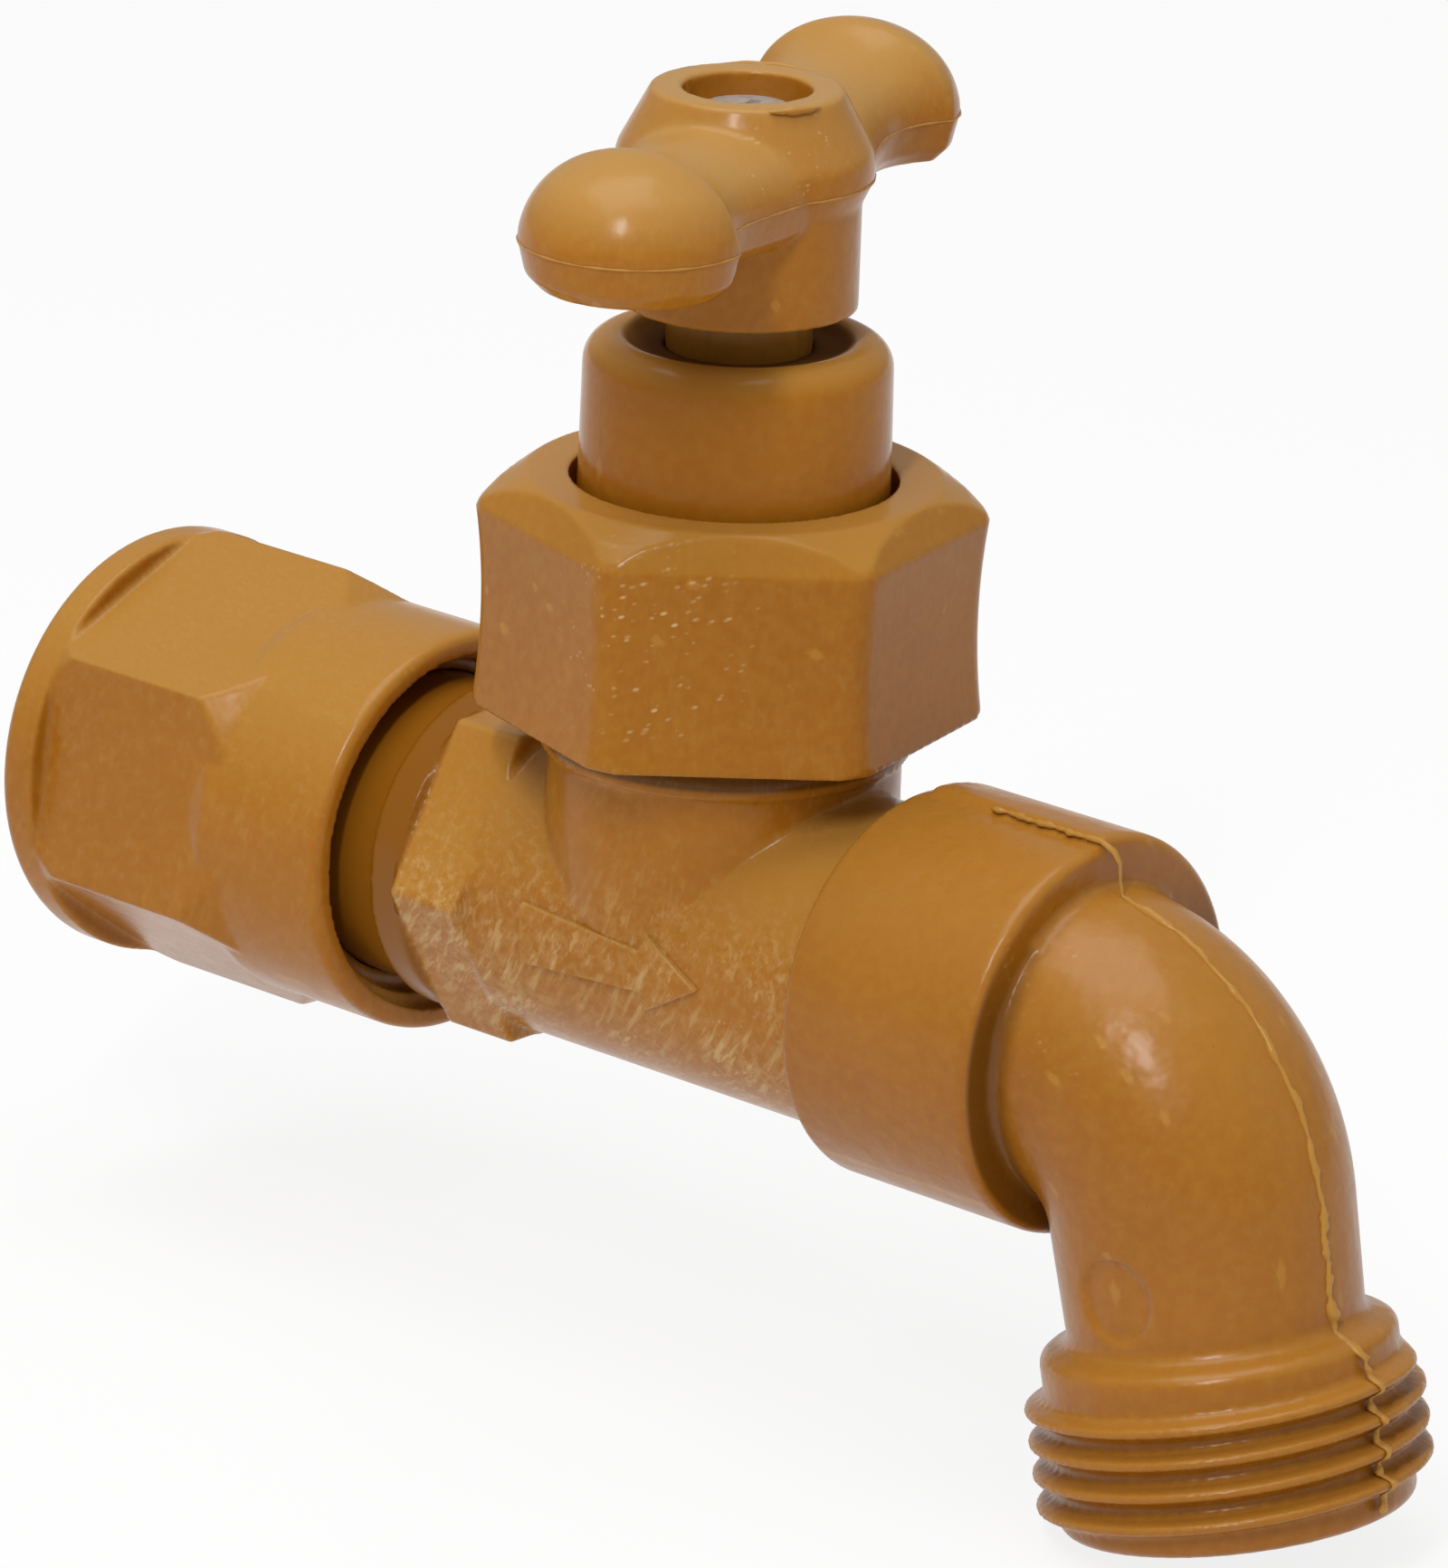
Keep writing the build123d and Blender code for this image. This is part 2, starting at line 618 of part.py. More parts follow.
def make_handle():
    stations = [
        (-LOBE_PLACE, LOBE_R, LOBE_HEIGHT),
        (-WAIST_PLACE, WAIST_HALF_WIDTH, WAIST_HEIGHT),
        (0, BAR_HALF_WIDTH, BAR_HEIGHT),
        (WAIST_PLACE, WAIST_HALF_WIDTH, WAIST_HEIGHT),
        (LOBE_PLACE, LOBE_R, LOBE_HEIGHT),
    ]
    bar = loft([bar_section(*station) for station in stations])
    bar += Pos(LOBE_PLACE, 0, 0) * make_lobe()
    bar += Rot(0, 0, 180) * Pos(LOBE_PLACE, 0, 0) * make_lobe()
    handle = Pos(SPINDLE_X, 0, 0) * Rot(0, 0, HANDLE_ANGLE) * bar
    handle += turned(
        [
            (0, HANDLE_SKIRT_BOTTOM),
            (HANDLE_SKIRT_R, HANDLE_SKIRT_BOTTOM),
            (HANDLE_SKIRT_R, HANDLE_PARTING_Z - HUB_UNDERCUT),
            (HUB_R, HANDLE_PARTING_Z),
            (HUB_R, HUB_TOP_Z - HUB_SHOULDER),
            (HUB_TOP_R, HUB_TOP_Z),
            (0, HUB_TOP_Z),
        ]
    )
    skirt_bore_top = HANDLE_SKIRT_BOTTOM + HANDLE_SKIRT_BORE_DEPTH
    handle -= spindle_rod(HANDLE_SKIRT_BOTTOM, skirt_bore_top, HANDLE_SKIRT_BORE_R)
    socket_height = SPINDLE_TOP + FIT - SPINDLE_SHAFT_TOP
    socket_side = SQUARE_DRIVE + 2 * RUNNING
    socket = Box(socket_side, socket_side, socket_height)
    place = Pos(SPINDLE_X, 0, SPINDLE_SHAFT_TOP + socket_height / 2) * Rot(0, 0, HANDLE_ANGLE)
    handle -= place * socket
    handle -= spindle_rod(SPINDLE_TOP, HUB_TOP_Z, SCREW_R + FIT)
    return handle - spindle_rod(SCREW_SEAT_Z, HUB_TOP_Z, HUB_RECESS_R)


def make_handle_screw():
    head_top = SCREW_SEAT_Z + SCREW_HEAD_HEIGHT
    screw = turned(
        [
            (0, SCREW_SEAT_Z - SCREW_LENGTH),
            (SCREW_R, SCREW_SEAT_Z - SCREW_LENGTH),
            (SCREW_R, SCREW_SEAT_Z),
            (SCREW_HEAD_R, SCREW_SEAT_Z),
            (SCREW_HEAD_R, head_top - SCREW_HEAD_DOME),
            (SCREW_HEAD_R - SCREW_HEAD_DOME, head_top),
            (0, head_top),
        ]
    )
    cut = Pos(SPINDLE_X, 0, head_top - CROSS_DEPTH / 2) * Rot(0, 0, HANDLE_ANGLE)
    screw -= cut * Box(CROSS_LENGTH, CROSS_WIDTH, CROSS_DEPTH)
    return screw - cut * Box(CROSS_WIDTH, CROSS_LENGTH, CROSS_DEPTH)


PARTS = {
    "tap_body": make_tap_body(),
    "inlet_nut": make_inlet_nut(),
    "grab_ring": make_grab_ring(),
    "thrust_ring": make_thrust_ring(),
    "pipe_seal": make_pipe_seal(),
    "spout": make_spout(),
    "spout_seal": make_spout_seal(),
    "bonnet": make_bonnet(),
    "bonnet_gasket": make_bonnet_gasket(),
    "bonnet_nut": make_bonnet_nut(),
    "spindle": make_spindle(),
    "lower_spindle_seal": make_spindle_seal(LOWER_SEAL_Z),
    "upper_spindle_seal": make_spindle_seal(UPPER_SEAL_Z),
    "thrust_washer": make_thrust_washer(),
    "jumper": make_jumper(),
    "seat_washer": make_seat_washer(),
    "washer_screw": make_washer_screw(),
    "handle": make_handle(),
    "handle_screw": make_handle_screw(),
}

os.makedirs("parts", exist_ok=True)
for name, part in PARTS.items():
    export_step(part, f"parts/{name}.step")
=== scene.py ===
import json
import math

import bmesh
import bpy
import numpy as np
from mathutils import Matrix, Vector

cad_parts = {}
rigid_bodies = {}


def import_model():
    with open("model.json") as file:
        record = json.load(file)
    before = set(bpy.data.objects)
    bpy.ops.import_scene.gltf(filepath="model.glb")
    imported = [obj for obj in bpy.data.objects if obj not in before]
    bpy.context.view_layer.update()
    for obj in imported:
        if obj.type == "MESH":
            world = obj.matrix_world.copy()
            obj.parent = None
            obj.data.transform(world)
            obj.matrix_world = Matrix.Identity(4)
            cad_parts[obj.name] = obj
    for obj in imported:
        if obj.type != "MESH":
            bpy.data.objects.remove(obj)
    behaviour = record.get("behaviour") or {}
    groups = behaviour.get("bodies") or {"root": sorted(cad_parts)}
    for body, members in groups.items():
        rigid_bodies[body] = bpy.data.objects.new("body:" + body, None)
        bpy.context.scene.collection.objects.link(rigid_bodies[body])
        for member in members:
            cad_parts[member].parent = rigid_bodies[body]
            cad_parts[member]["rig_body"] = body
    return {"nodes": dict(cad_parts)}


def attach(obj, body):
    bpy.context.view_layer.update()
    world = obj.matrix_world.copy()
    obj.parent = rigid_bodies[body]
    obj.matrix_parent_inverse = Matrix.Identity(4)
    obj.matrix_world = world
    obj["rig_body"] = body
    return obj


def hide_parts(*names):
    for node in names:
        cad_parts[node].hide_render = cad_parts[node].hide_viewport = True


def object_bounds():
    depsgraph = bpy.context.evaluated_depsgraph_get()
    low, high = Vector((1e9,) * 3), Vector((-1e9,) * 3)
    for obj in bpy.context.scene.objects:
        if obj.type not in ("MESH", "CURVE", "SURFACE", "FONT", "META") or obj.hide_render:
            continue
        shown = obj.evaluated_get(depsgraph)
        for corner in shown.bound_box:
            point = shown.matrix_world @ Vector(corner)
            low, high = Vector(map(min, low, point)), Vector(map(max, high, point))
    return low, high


# Looks of the plastic bib tap: soft-edged skins over the solids, moulded details, studio.
# Sizes are in millimetres, as in the solids, unless a comment says otherwise.

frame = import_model()
nodes = frame["nodes"]
cad_low, cad_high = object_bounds()

MM = 0.001
FULL_TURN = 2 * math.pi
NEAR = np.array([0.0, -1.0, 0.0])
FAR = np.array([0.0, 1.0, 0.0])
UP = np.array([0.0, 0.0, 1.0])

# Photograph's camera: degrees and metres, with lens and sensor in millimetres
CAMERA_AZIMUTH = 41.18
CAMERA_ELEVATION = 18.48
CAMERA_ROLL = 1.99
CAMERA_DISTANCE = 0.650
CAMERA_TARGET = (0.04204, 0.0, 0.00972)
CAMERA_LENS = 216.82
CAMERA_SENSOR = 36.0
CAMERA_CLIP = (0.01, 20)

# Spout's collar
SPOUT_START = 59.6
BODY_END = 71.4
COLLAR_END = 75.8
COLLAR_R = 13.6
COLLAR_ROUND = 0.8
COLLAR_ROUND_RINGS = 7
COLLAR_LIP = 0.35
COLLAR_PLAIN = 0.7
COLLAR_STEP = 0.25
COLLAR_INNER_R = 8.5
SOCKET_R = 11.6
FAR_HALF_STEP = 0.6
FAR_HALF_INSET = 0.9
FAR_HALF_RAMP = 0.2
STEP_SOFTNESS = 0.12

# Spout's elbow, with its round moulding mark
ELBOW_ROOT_R = 10.9
ELBOW_R = 10.0
ELBOW_STEP = 0.3
BEND_R = 11.2
BORE_R = 7.6
BORE_STEP = 0.7
OUTLET_X = 88.2
OUTLET_Z = -21.0
OUTLET_TILT = math.radians(12.3)
COLLAR_FILLET = 0.6
MARK_PLACE = -8.15
MARK_R = 3.0
MARK_DEPTH = 0.45
MARK_EDGE = 0.25
RING_POINTS = 240

# Spout's outlet: depths count from the first ridge of the thread, turns from its start
THREAD_R = 13.45
THREAD_ROOT_R = 12.05
THREAD_PITCH = 2.209
THREAD_CREST_HALF = 0.16
THREAD_ROOT_HALF = 0.78
THREAD_PHASE = math.pi / 2
THREAD_TURNS = range(-1, 6)
THREAD_FIRST_TURN = -0.42
THREAD_LAST_TURN = 3.42
THREAD_RUNOUT = 0.12
THREAD_TOP = -2.9
THREAD_STEP = 0.12
OUTLET_SHOULDER = 3.6
OUTLET_END = 8.9
OUTLET_ROUND = 0.8
BORE_TOP = 8.0
ELBOW_FOOT = 4.8
# depth and radius of each ring
SHOULDER_RINGS = (
    (-4.8, 10.0),
    (-4.3, 10.12),
    (-3.95, 10.4),
    (-3.75, 10.9),
    (-3.6, 11.4),
    (-3.3, 11.85),
)
MOUTH_RINGS = ((8.3, 12.0), (8.65, 11.75), (8.9, 11.3), (8.9, 8.2), (8.5, BORE_R))

# Flow arrow on the near side of the body's tube
TUBE_R = 11.5
ARROW_TAIL = 34.2
ARROW_NECK = 45.0
ARROW_HEAD = 45.7
ARROW_TIP = 50.4
ARROW_ARC = -0.35
ARROW_TAIL_HALF = 2.2
ARROW_NECK_HALF = 1.45
ARROW_HEAD_HALF = 2.65
ARROW_TIP_HALF = 0.02
ARROW_LEAST_HALF = 0.01
ARROW_HEIGHT = 0.4
ARROW_ROOT = 0.4
ARROW_DRAFT = 0.12
ARROW_SHAFT_RINGS = 24
ARROW_NECK_RINGS = 5
ARROW_HEAD_RINGS = 18
ARROW_ACROSS = 13

# Beads of flash. A ripple is a row of sine waves, each with a height, a rate and a phase.
BEAD_SIDES = 8

# Flash on the spout's parting line
FLASH_RADIUS = 0.24
FLASH_SWELL = ((0.3, 2.9, 0.0), (0.25, 7.3, 1.1))
FLASH_SWAY = ((0.1, 1.7, 0.4), (0.06, 5.1, 0.0))
FLASH_CALM = 0.8
FLASH_NEAR = 0.2
# run, extra radius, width
FLASH_BLOBS = ((22.2, 0.22, 0.8), (24.4, 0.2, 0.5), (3.2, 0.14, 0.6), (16.5, 0.1, 0.7))
# on the collar: start and stop before its face, step, height over its radius
FLASH_COLLAR_START = 9.5
FLASH_COLLAR_STOP = 0.7
FLASH_COLLAR_STEP = 0.25
FLASH_COLLAR_RISE = 0.45
# down the collar's face: run from the face, height over the collar's radius
FLASH_FACE = ((-0.2, 0.1), (0.0, -0.7), (0.1, -1.9))
FLASH_ELBOW_START = 0.3
# down the outlet's shoulder: depth, radius
FLASH_SHOULDER = ((-4.2, 10.1), (-3.7, 10.8), (-3.4, 11.6), (-2.9, 12.05))
# over the thread: start, end and step of the depth, height, share of a ridge in the grooves
FLASH_THREAD = (-2.6, 8.2, 0.2)
FLASH_THREAD_RISE = 0.15
FLASH_GROOVE = 0.25

# Skins: voxel size, rounds of smoothing, share of the faces that is kept
SKINS = {
    "tap_body": (0.29, 1, 0.45),
    "inlet_nut": (0.26, 1, 0.6),
    "bonnet_nut": (0.24, 1, 0.7),
    "bonnet": (0.28, 2, 0.6),
    "handle": (0.26, 1, 0.9),
}
SPOUT_SKIN = (0.25, 1, 0.5)
SMOOTH_FACTOR = 0.5

# Bonnet's shoulder, where the spindle's washer stops when fully open
STOP_Z = 27.4
STOP_R = 7.5
STOP_ROOM = 0.25
STOP_NEAR = 0.5
STOP_FAR = 1.3

# Handle
SPINDLE_X = 42.0
PARTING_Z = 53.2
HUB_TOP_Z = 59.2
HUB_TOP_R = 6.5
# blend of hub and bar: heights over the parting line, radii from the hub's rim
BLEND_LOW = 0.7
BLEND_HIGH = 1.8
BLEND_INNER = -0.1
BLEND_OUTER = 0.7
BLEND_LEAST = 0.01
BLEND_ROUNDS = 22
PARTING_R = 0.08
PARTING_STEP = 0.4
PARTING_REACH = 0.02
PARTING_RIPPLE = ((0.3, 0.55, 0.0), (0.2, 1.31, 0.7))
# lips on the hub's rim: start and end angle in degrees, radius, greatest height
HUB_LIPS = ((-36, -2, 6.75, 0.32), (82, 152, 6.45, 0.26))
LIP_RINGS = 25
LIP_SINK = 0.12
LIP_END = 0.15
LIP_RIPPLE = ((0.12, 19, 0.0),)


def smoothstep(low, high, x):
    t = np.clip((np.asarray(x, float) - low) / (high - low), 0.0, 1.0)
    return t * t * (3 - 2 * t)


def ripple(waves, place):
    return sum(height * math.sin(rate * place + phase) for height, rate, phase in waves)


# Materials

# Colours of the plastic
OCHRE = (0.385, 0.136, 0.007)
OCHRE_DEEP = (0.345, 0.118, 0.006)
# OCHRE_SHADED and OCHRE_DARK are painted shade wherever they are used
OCHRE_SHADED = (0.24, 0.085, 0.005)
OCHRE_DARK = (0.14, 0.05, 0.003)
OCHRE_PALE = (0.48, 0.225, 0.03)
# Painted light: tint that lightens what faces up, as the overhead light does
TOP_LIGHT_TINT = (0.43, 0.205, 0.036)
FROST = (0.58, 0.38, 0.15)
SPECK = (0.66, 0.48, 0.23)
# Painted shade: darker copies of the ochre for the spout and the bonnet nut
SPOUT_SHADED_TONES = ((0.322, 0.108, 0.0052), (0.36, 0.125, 0.006))
NUT_SHADED_TONES = ((0.328, 0.112, 0.0055), (0.366, 0.13, 0.0065))
# Paler painted top light for the handle
HANDLE_TOP_LIGHT_TINT = (0.455, 0.242, 0.06)
FLASH_SHADES = ((0.42, 0.195, 0.028), (0.52, 0.285, 0.07))

# Clouds of noise: scale per metre, detail, stops of the ramp
MOTTLE = (55, 3, ((0.3, 0.0), (0.72, 1.0)))
FINE_MOTTLE = (1100, 4, ((0.4, 0.0), (0.85, 0.3)))
SCUFF_PATCHES = (150, 3, ((0.3, 0.15), (0.6, 1.0)))
SCUFF_BLOTCHES = (1500, 3, ((0.42, 0.0), (0.75, 0.55)))
FLECKS_KEPT = (700, 1, ((0.5, 0.0), (0.66, 1.0)))

# Plain noise: scale per metre, detail
GLOSS_NOISE = (420, 4)
WAVE_NOISE = (420, 2)
GRAIN_NOISE = (2600, 3)

# Slanted scratches: degrees, scale per metre, noise of scale, detail and roughness
SCUFF_TURN = (20, 48, 30)
SCUFF_SCALE = (230, 2600, 1400)
STREAK_NOISE = (1.0, 3, 0.65)
STREAK_STOPS = ((0.48, 0.0), (0.64, 1.0))

# Flecks: degrees, scale per metre
FLECK_TURN = -42
FLECK_DIP = 20
FLECK_SCALE = (1050, 2000, 2000)
FLECK_STOPS = ((0.16, 1.0), (0.32, 0.0))
FLECK_CORE = 0.3

# Edges by pointiness, pale from wear and painted highlight; corners by pointiness, painted shade; and painted
# top light by how far a face looks up
EDGE_WEAR_AND_HIGHLIGHT_STOPS = ((0.52, 0.0), (0.6, 0.5))
CORNER_SHADE_STOPS = ((0.4, 0.75), (0.485, 0.0))
TOP_LIGHT_START = 0.1
TOP_LIGHT_FULL = 0.75

# Places in the pieces that are scuffed or carry painted shade: two ends, and the level at each
HEX_START = 22.7
BEAD_TOP = 13.3
DISH_R = 8.1
# Painted shade in the corner between the spout's collar and elbow
COLLAR_SHADE_INSIDE = ((COLLAR_END - 0.2, COLLAR_END - 0.02), (0.0, 0.85))
COLLAR_SHADE_OUTSIDE = ((COLLAR_END + 0.1, COLLAR_END + 1.8), (1.0, 0.0))
COLLAR_SHADE_LOW = ((3, 11), (1.0, 0.1))
# Scuffs start at the hex; before it, inside the inlet nut, the body has painted shade
BODY_SCUFFED_UNSHADED = ((HEX_START, HEX_START + 0.6), (0.0, 1.0))
BODY_LOW = ((-3, 9), (1.0, 0.12))
# Painted shade on the neck under the bonnet nut
BODY_GAP_SHADE = ((BEAD_TOP - 0.2, BEAD_TOP + 0.2), (0.0, 1.0))
# Painted shadow of the handle in the bonnet's dish
BONNET_DISH_SHADOW = ((DISH_R - 0.6, DISH_R + 0.2), (0.85, 0.0))

PLASTIC_IOR = 1.48
WAVE_STRENGTH = 0.8
GRAIN_STRENGTH = 0.1
GRAIN_HEIGHT = 0.04
GLOSS_CHANGE = 0.08

# Colour sockets of a mix node
MIX_UNDER = 6
MIX_OVER = 7
MIX_RESULT = 2


def node_of(tree, kind, **inputs):
    node = tree.nodes.new(kind)
    for name, value in inputs.items():
        node.inputs[name.replace("_", " ")].default_value = value
    return node


def noise(tree, vector, scale, detail, roughness=0.55):
    node = node_of(tree, "ShaderNodeTexNoise", Scale=scale, Detail=detail, Roughness=roughness)
    tree.links.new(vector, node.inputs["Vector"])
    return node.outputs["Fac"]


def ramp(tree, value, stops):
    node = tree.nodes.new("ShaderNodeValToRGB")
    elements = node.color_ramp.elements
    while len(elements) < len(stops):
        elements.new(0.5)
    for element, (place, level) in zip(elements, stops):
        element.position = place
        element.color = (level, level, level, 1)
    tree.links.new(value, node.inputs["Fac"])
    return node.outputs["Color"]


def cloud(tree, vector, scale, detail, stops):
    return ramp(tree, noise(tree, vector, scale, detail), stops)


def mapped(tree, vector, scale=(1, 1, 1), turn=(0, 0, 0), shift=(0, 0, 0)):
    node = tree.nodes.new("ShaderNodeMapping")
    node.inputs["Scale"].default_value = scale
    node.inputs["Rotation"].default_value = [math.radians(x) for x in turn]
    node.inputs["Location"].default_value = shift
    tree.links.new(vector, node.inputs["Vector"])
    return node.outputs["Vector"]


def maths(tree, operation, first, second=0.0):
    node = tree.nodes.new("ShaderNodeMath")
    node.operation = operation
    for socket, value in zip(node.inputs, (first, second)):
        if isinstance(value, (int, float)):
            socket.default_value = value
        else:
            tree.links.new(value, socket)
    return node.outputs["Value"]


def product(tree, first, *others):
    for other in others:
        first = maths(tree, "MULTIPLY", first, other)
    return first


def parts_of(tree, vector):
    """Sockets for X, Y and Z of a vector."""
    node = tree.nodes.new("ShaderNodeSeparateXYZ")
    tree.links.new(vector, node.inputs["Vector"])
    return node.outputs


def tint(tree, factor, under, over):
    """Colour that goes from under to over with the factor."""
    node = tree.nodes.new("ShaderNodeMix")
    node.data_type = "RGBA"
    tree.links.new(factor, node.inputs["Factor"])
    for socket, value in ((node.inputs[MIX_UNDER], under), (node.inputs[MIX_OVER], over)):
        if isinstance(value, tuple):
            socket.default_value = (*value, 1)
        else:
            tree.links.new(value, socket)
    return node.outputs[MIX_RESULT]


def spread(tree, value, low, high):
    """Value from 0 to 1, spread from low to high."""
    node = node_of(tree, "ShaderNodeMapRange", To_Min=low, To_Max=high)
    tree.links.new(value, node.inputs["Value"])
    return node.outputs["Result"]


def between(tree, value, ends, levels):
    """Goes smoothly from one level to the other between two ends."""
    low, high = ends[0] * MM, ends[1] * MM
    start, end = levels
    node = node_of(tree, "ShaderNodeMapRange", From_Min=low, From_Max=high, To_Min=start, To_Max=end)
    node.interpolation_type = "SMOOTHSTEP"
    tree.links.new(value, node.inputs["Value"])
    return node.outputs["Result"]


def start_material(name):
    material = bpy.data.materials.new(name)
    material.use_nodes = True
    tree = material.node_tree
    tree.nodes.clear()
    output = tree.nodes.new("ShaderNodeOutputMaterial")
    shader = tree.nodes.new("ShaderNodeBsdfPrincipled")
    tree.links.new(shader.outputs["BSDF"], output.inputs["Surface"])
    place = tree.nodes.new("ShaderNodeTexCoord").outputs["Object"]
    return material, tree, shader, place


def wear_and_painted_light(tree, colour, top_light, top_light_tint):
    """Pale edges from wear and painted highlight, painted light on what faces up, and painted shade in inner
    corners.
    """
    surface = tree.nodes.new("ShaderNodeNewGeometry").outputs
    # Pale edges: partly wear, partly painted highlight along the edges
    edges = ramp(tree, surface["Pointiness"], EDGE_WEAR_AND_HIGHLIGHT_STOPS)
    colour = tint(tree, edges, colour, OCHRE_PALE)
    # Painted light: faces that look up are lightened towards the tint
    upward = parts_of(tree, surface["Normal"])["Z"]
    lit_from_above = ramp(tree, upward, ((TOP_LIGHT_START, 0.0), (TOP_LIGHT_FULL, top_light)))
    colour = tint(tree, lit_from_above, colour, top_light_tint)
    # Painted shade: inner corners, creases and thread grooves are darkened
    corners = ramp(tree, surface["Pointiness"], CORNER_SHADE_STOPS)
    return tint(tree, corners, colour, OCHRE_DARK)


def collar_shade(tree, spot):
    """Share of painted shade in the corner between the spout's collar and elbow, by how deep a point is in
    it.
    """
    inside = between(tree, spot["X"], *COLLAR_SHADE_INSIDE)
    outside = between(tree, spot["X"], *COLLAR_SHADE_OUTSIDE)
    low_down = between(tree, spot["Z"], *COLLAR_SHADE_LOW)
    return product(tree, inside, outside, low_down)


def from_spindle(tree, spot):
    """Distance from the spindle's axis."""
    across = maths(tree, "SUBTRACT", spot["X"], SPINDLE_X * MM)
    squares = maths(tree, "ADD", product(tree, across, across), product(tree, spot["Y"], spot["Y"]))
    return maths(tree, "SQRT", squares)


def scuffs(tree, moved, frost):
    """Fine slanted scratches and blotches, in patches."""
    scratch = mapped(tree, mapped(tree, moved, turn=SCUFF_TURN), SCUFF_SCALE)
    streaks = ramp(tree, noise(tree, scratch, *STREAK_NOISE), STREAK_STOPS)
    marks = maths(tree, "MAXIMUM", streaks, cloud(tree, moved, *SCUFF_BLOTCHES))
    return product(tree, marks, cloud(tree, moved, *SCUFF_PATCHES), frost)


def flecks(tree, place, moved, centre, reach, strength):
    """Small flecks in a patch round a centre."""
    level = mapped(tree, moved, turn=(0, 0, FLECK_TURN))
    stretched = mapped(tree, mapped(tree, level, turn=(0, FLECK_DIP, 0)), FLECK_SCALE)
    cells = node_of(tree, "ShaderNodeTexVoronoi", Scale=1.0, Randomness=1.0)
    tree.links.new(stretched, cells.inputs["Vector"])
    dots = ramp(tree, cells.outputs["Distance"], FLECK_STOPS)
    kept = cloud(tree, moved, *FLECKS_KEPT)
    away = tree.nodes.new("ShaderNodeVectorMath")
    away.operation = "DISTANCE"
    away.inputs[1].default_value = [x * MM for x in centre]
    tree.links.new(place, away.inputs[0])
    near = ramp(tree, away.outputs["Value"], ((FLECK_CORE * reach * MM, 1.0), (reach * MM, 0.0)))
    return product(tree, dots, kept, near, strength)


def relief(tree, moved, waves):
    """Normal of a slightly wavy surface with a fine grain."""
    uneven = node_of(tree, "ShaderNodeBump", Strength=WAVE_STRENGTH, Distance=waves * MM)
    tree.links.new(noise(tree, moved, *WAVE_NOISE), uneven.inputs["Height"])
    grain = node_of(tree, "ShaderNodeBump", Strength=GRAIN_STRENGTH, Distance=GRAIN_HEIGHT * MM)
    tree.links.new(noise(tree, moved, *GRAIN_NOISE), grain.inputs["Height"])
    tree.links.new(uneven.outputs["Normal"], grain.inputs["Normal"])
    return grain.outputs["Normal"]


def plastic(
    name,
    frost=0.0,
    specks=None,
    shift=0.0,
    shades=(OCHRE_DEEP, OCHRE),
    top_light=0.9,
    top_light_tint=TOP_LIGHT_TINT,
    waves=0.05,
    dull=(0.18, 0.3),
    shine=0.2,
    body=False,
    corner=False,
    dish_shadow=False,
):
    """Moulded ochre plastic: faint mottling, edge wear with painted highlight, painted light on what faces
    up, painted shade in inner corners and at the places asked for, frosty scuffs and a patch of pale specks.
    """
    material, tree, shader, place = start_material(name)
    moved = mapped(tree, place, shift=(shift, shift, shift))
    spot = parts_of(tree, place)
    roughness = spread(tree, noise(tree, moved, *GLOSS_NOISE), *dull)
    colour = tint(tree, cloud(tree, moved, *MOTTLE), *shades)
    colour = tint(tree, cloud(tree, moved, *FINE_MOTTLE), colour, OCHRE_PALE)
    colour = wear_and_painted_light(tree, colour, top_light, top_light_tint)
    # Painted shade in the corner between the collar and the elbow
    if corner:
        colour = tint(tree, collar_shade(tree, spot), colour, OCHRE_DARK)
    # Painted shadow of the handle in the bonnet's dish, which is also made rougher
    if dish_shadow:
        in_dish_shadow = between(tree, from_spindle(tree, spot), *BONNET_DISH_SHADOW)
        colour = tint(tree, in_dish_shadow, colour, OCHRE_DARK)
        roughness = maths(tree, "MAXIMUM", roughness, in_dish_shadow)
    if frost:
        marks = scuffs(tree, moved, frost)
        if body:
            scuffed_unshaded = between(tree, spot["X"], *BODY_SCUFFED_UNSHADED)
            marks = product(tree, marks, scuffed_unshaded, between(tree, spot["Z"], *BODY_LOW))
            # Painted shade: the body inside the inlet nut's mouth is OCHRE_SHADED
            colour = tint(tree, scuffed_unshaded, OCHRE_SHADED, colour)
            # Painted shade on the neck under the bonnet nut, above the bead
            colour = tint(tree, between(tree, spot["Z"], *BODY_GAP_SHADE), colour, OCHRE_DARK)
        colour = tint(tree, marks, colour, FROST)
    if specks:
        colour = tint(tree, flecks(tree, place, moved, *specks), colour, SPECK)
    tree.links.new(colour, shader.inputs["Base Color"])
    tree.links.new(roughness, shader.inputs["Roughness"])
    tree.links.new(relief(tree, moved, waves), shader.inputs["Normal"])
    shader.inputs["IOR"].default_value = PLASTIC_IOR
    shader.inputs["Specular IOR Level"].default_value = shine
    return material


def plain_material(name, dark, pale, scale, roughness, metallic=0.0):
    """Material of an inner piece: two shades in a fine cloud, with a matching change of gloss."""
    material, tree, shader, place = start_material(name)
    shade = noise(tree, place, scale, 4)
    gloss = spread(tree, shade, roughness - GLOSS_CHANGE, roughness + GLOSS_CHANGE)
    tree.links.new(tint(tree, shade, dark, pale), shader.inputs["Base Color"])
    tree.links.new(gloss, shader.inputs["Roughness"])
    shader.inputs["Metallic"].default_value = metallic
    return material


# Patches of specks: centre and reach, strength
NUT_SPECKS = ((48.5, -15.0, 24.0), 9.0, 0.8)
HUB_SPECKS = ((50.0, -3.5, 56.0), 6.0, 0.6)
BODY_SPECKS = ((55.0, -11.0, -4.0), 9.0, 0.35)
SPOUT_SPECKS = ((80.0, -9.0, 7.0), 8.0, 0.25)

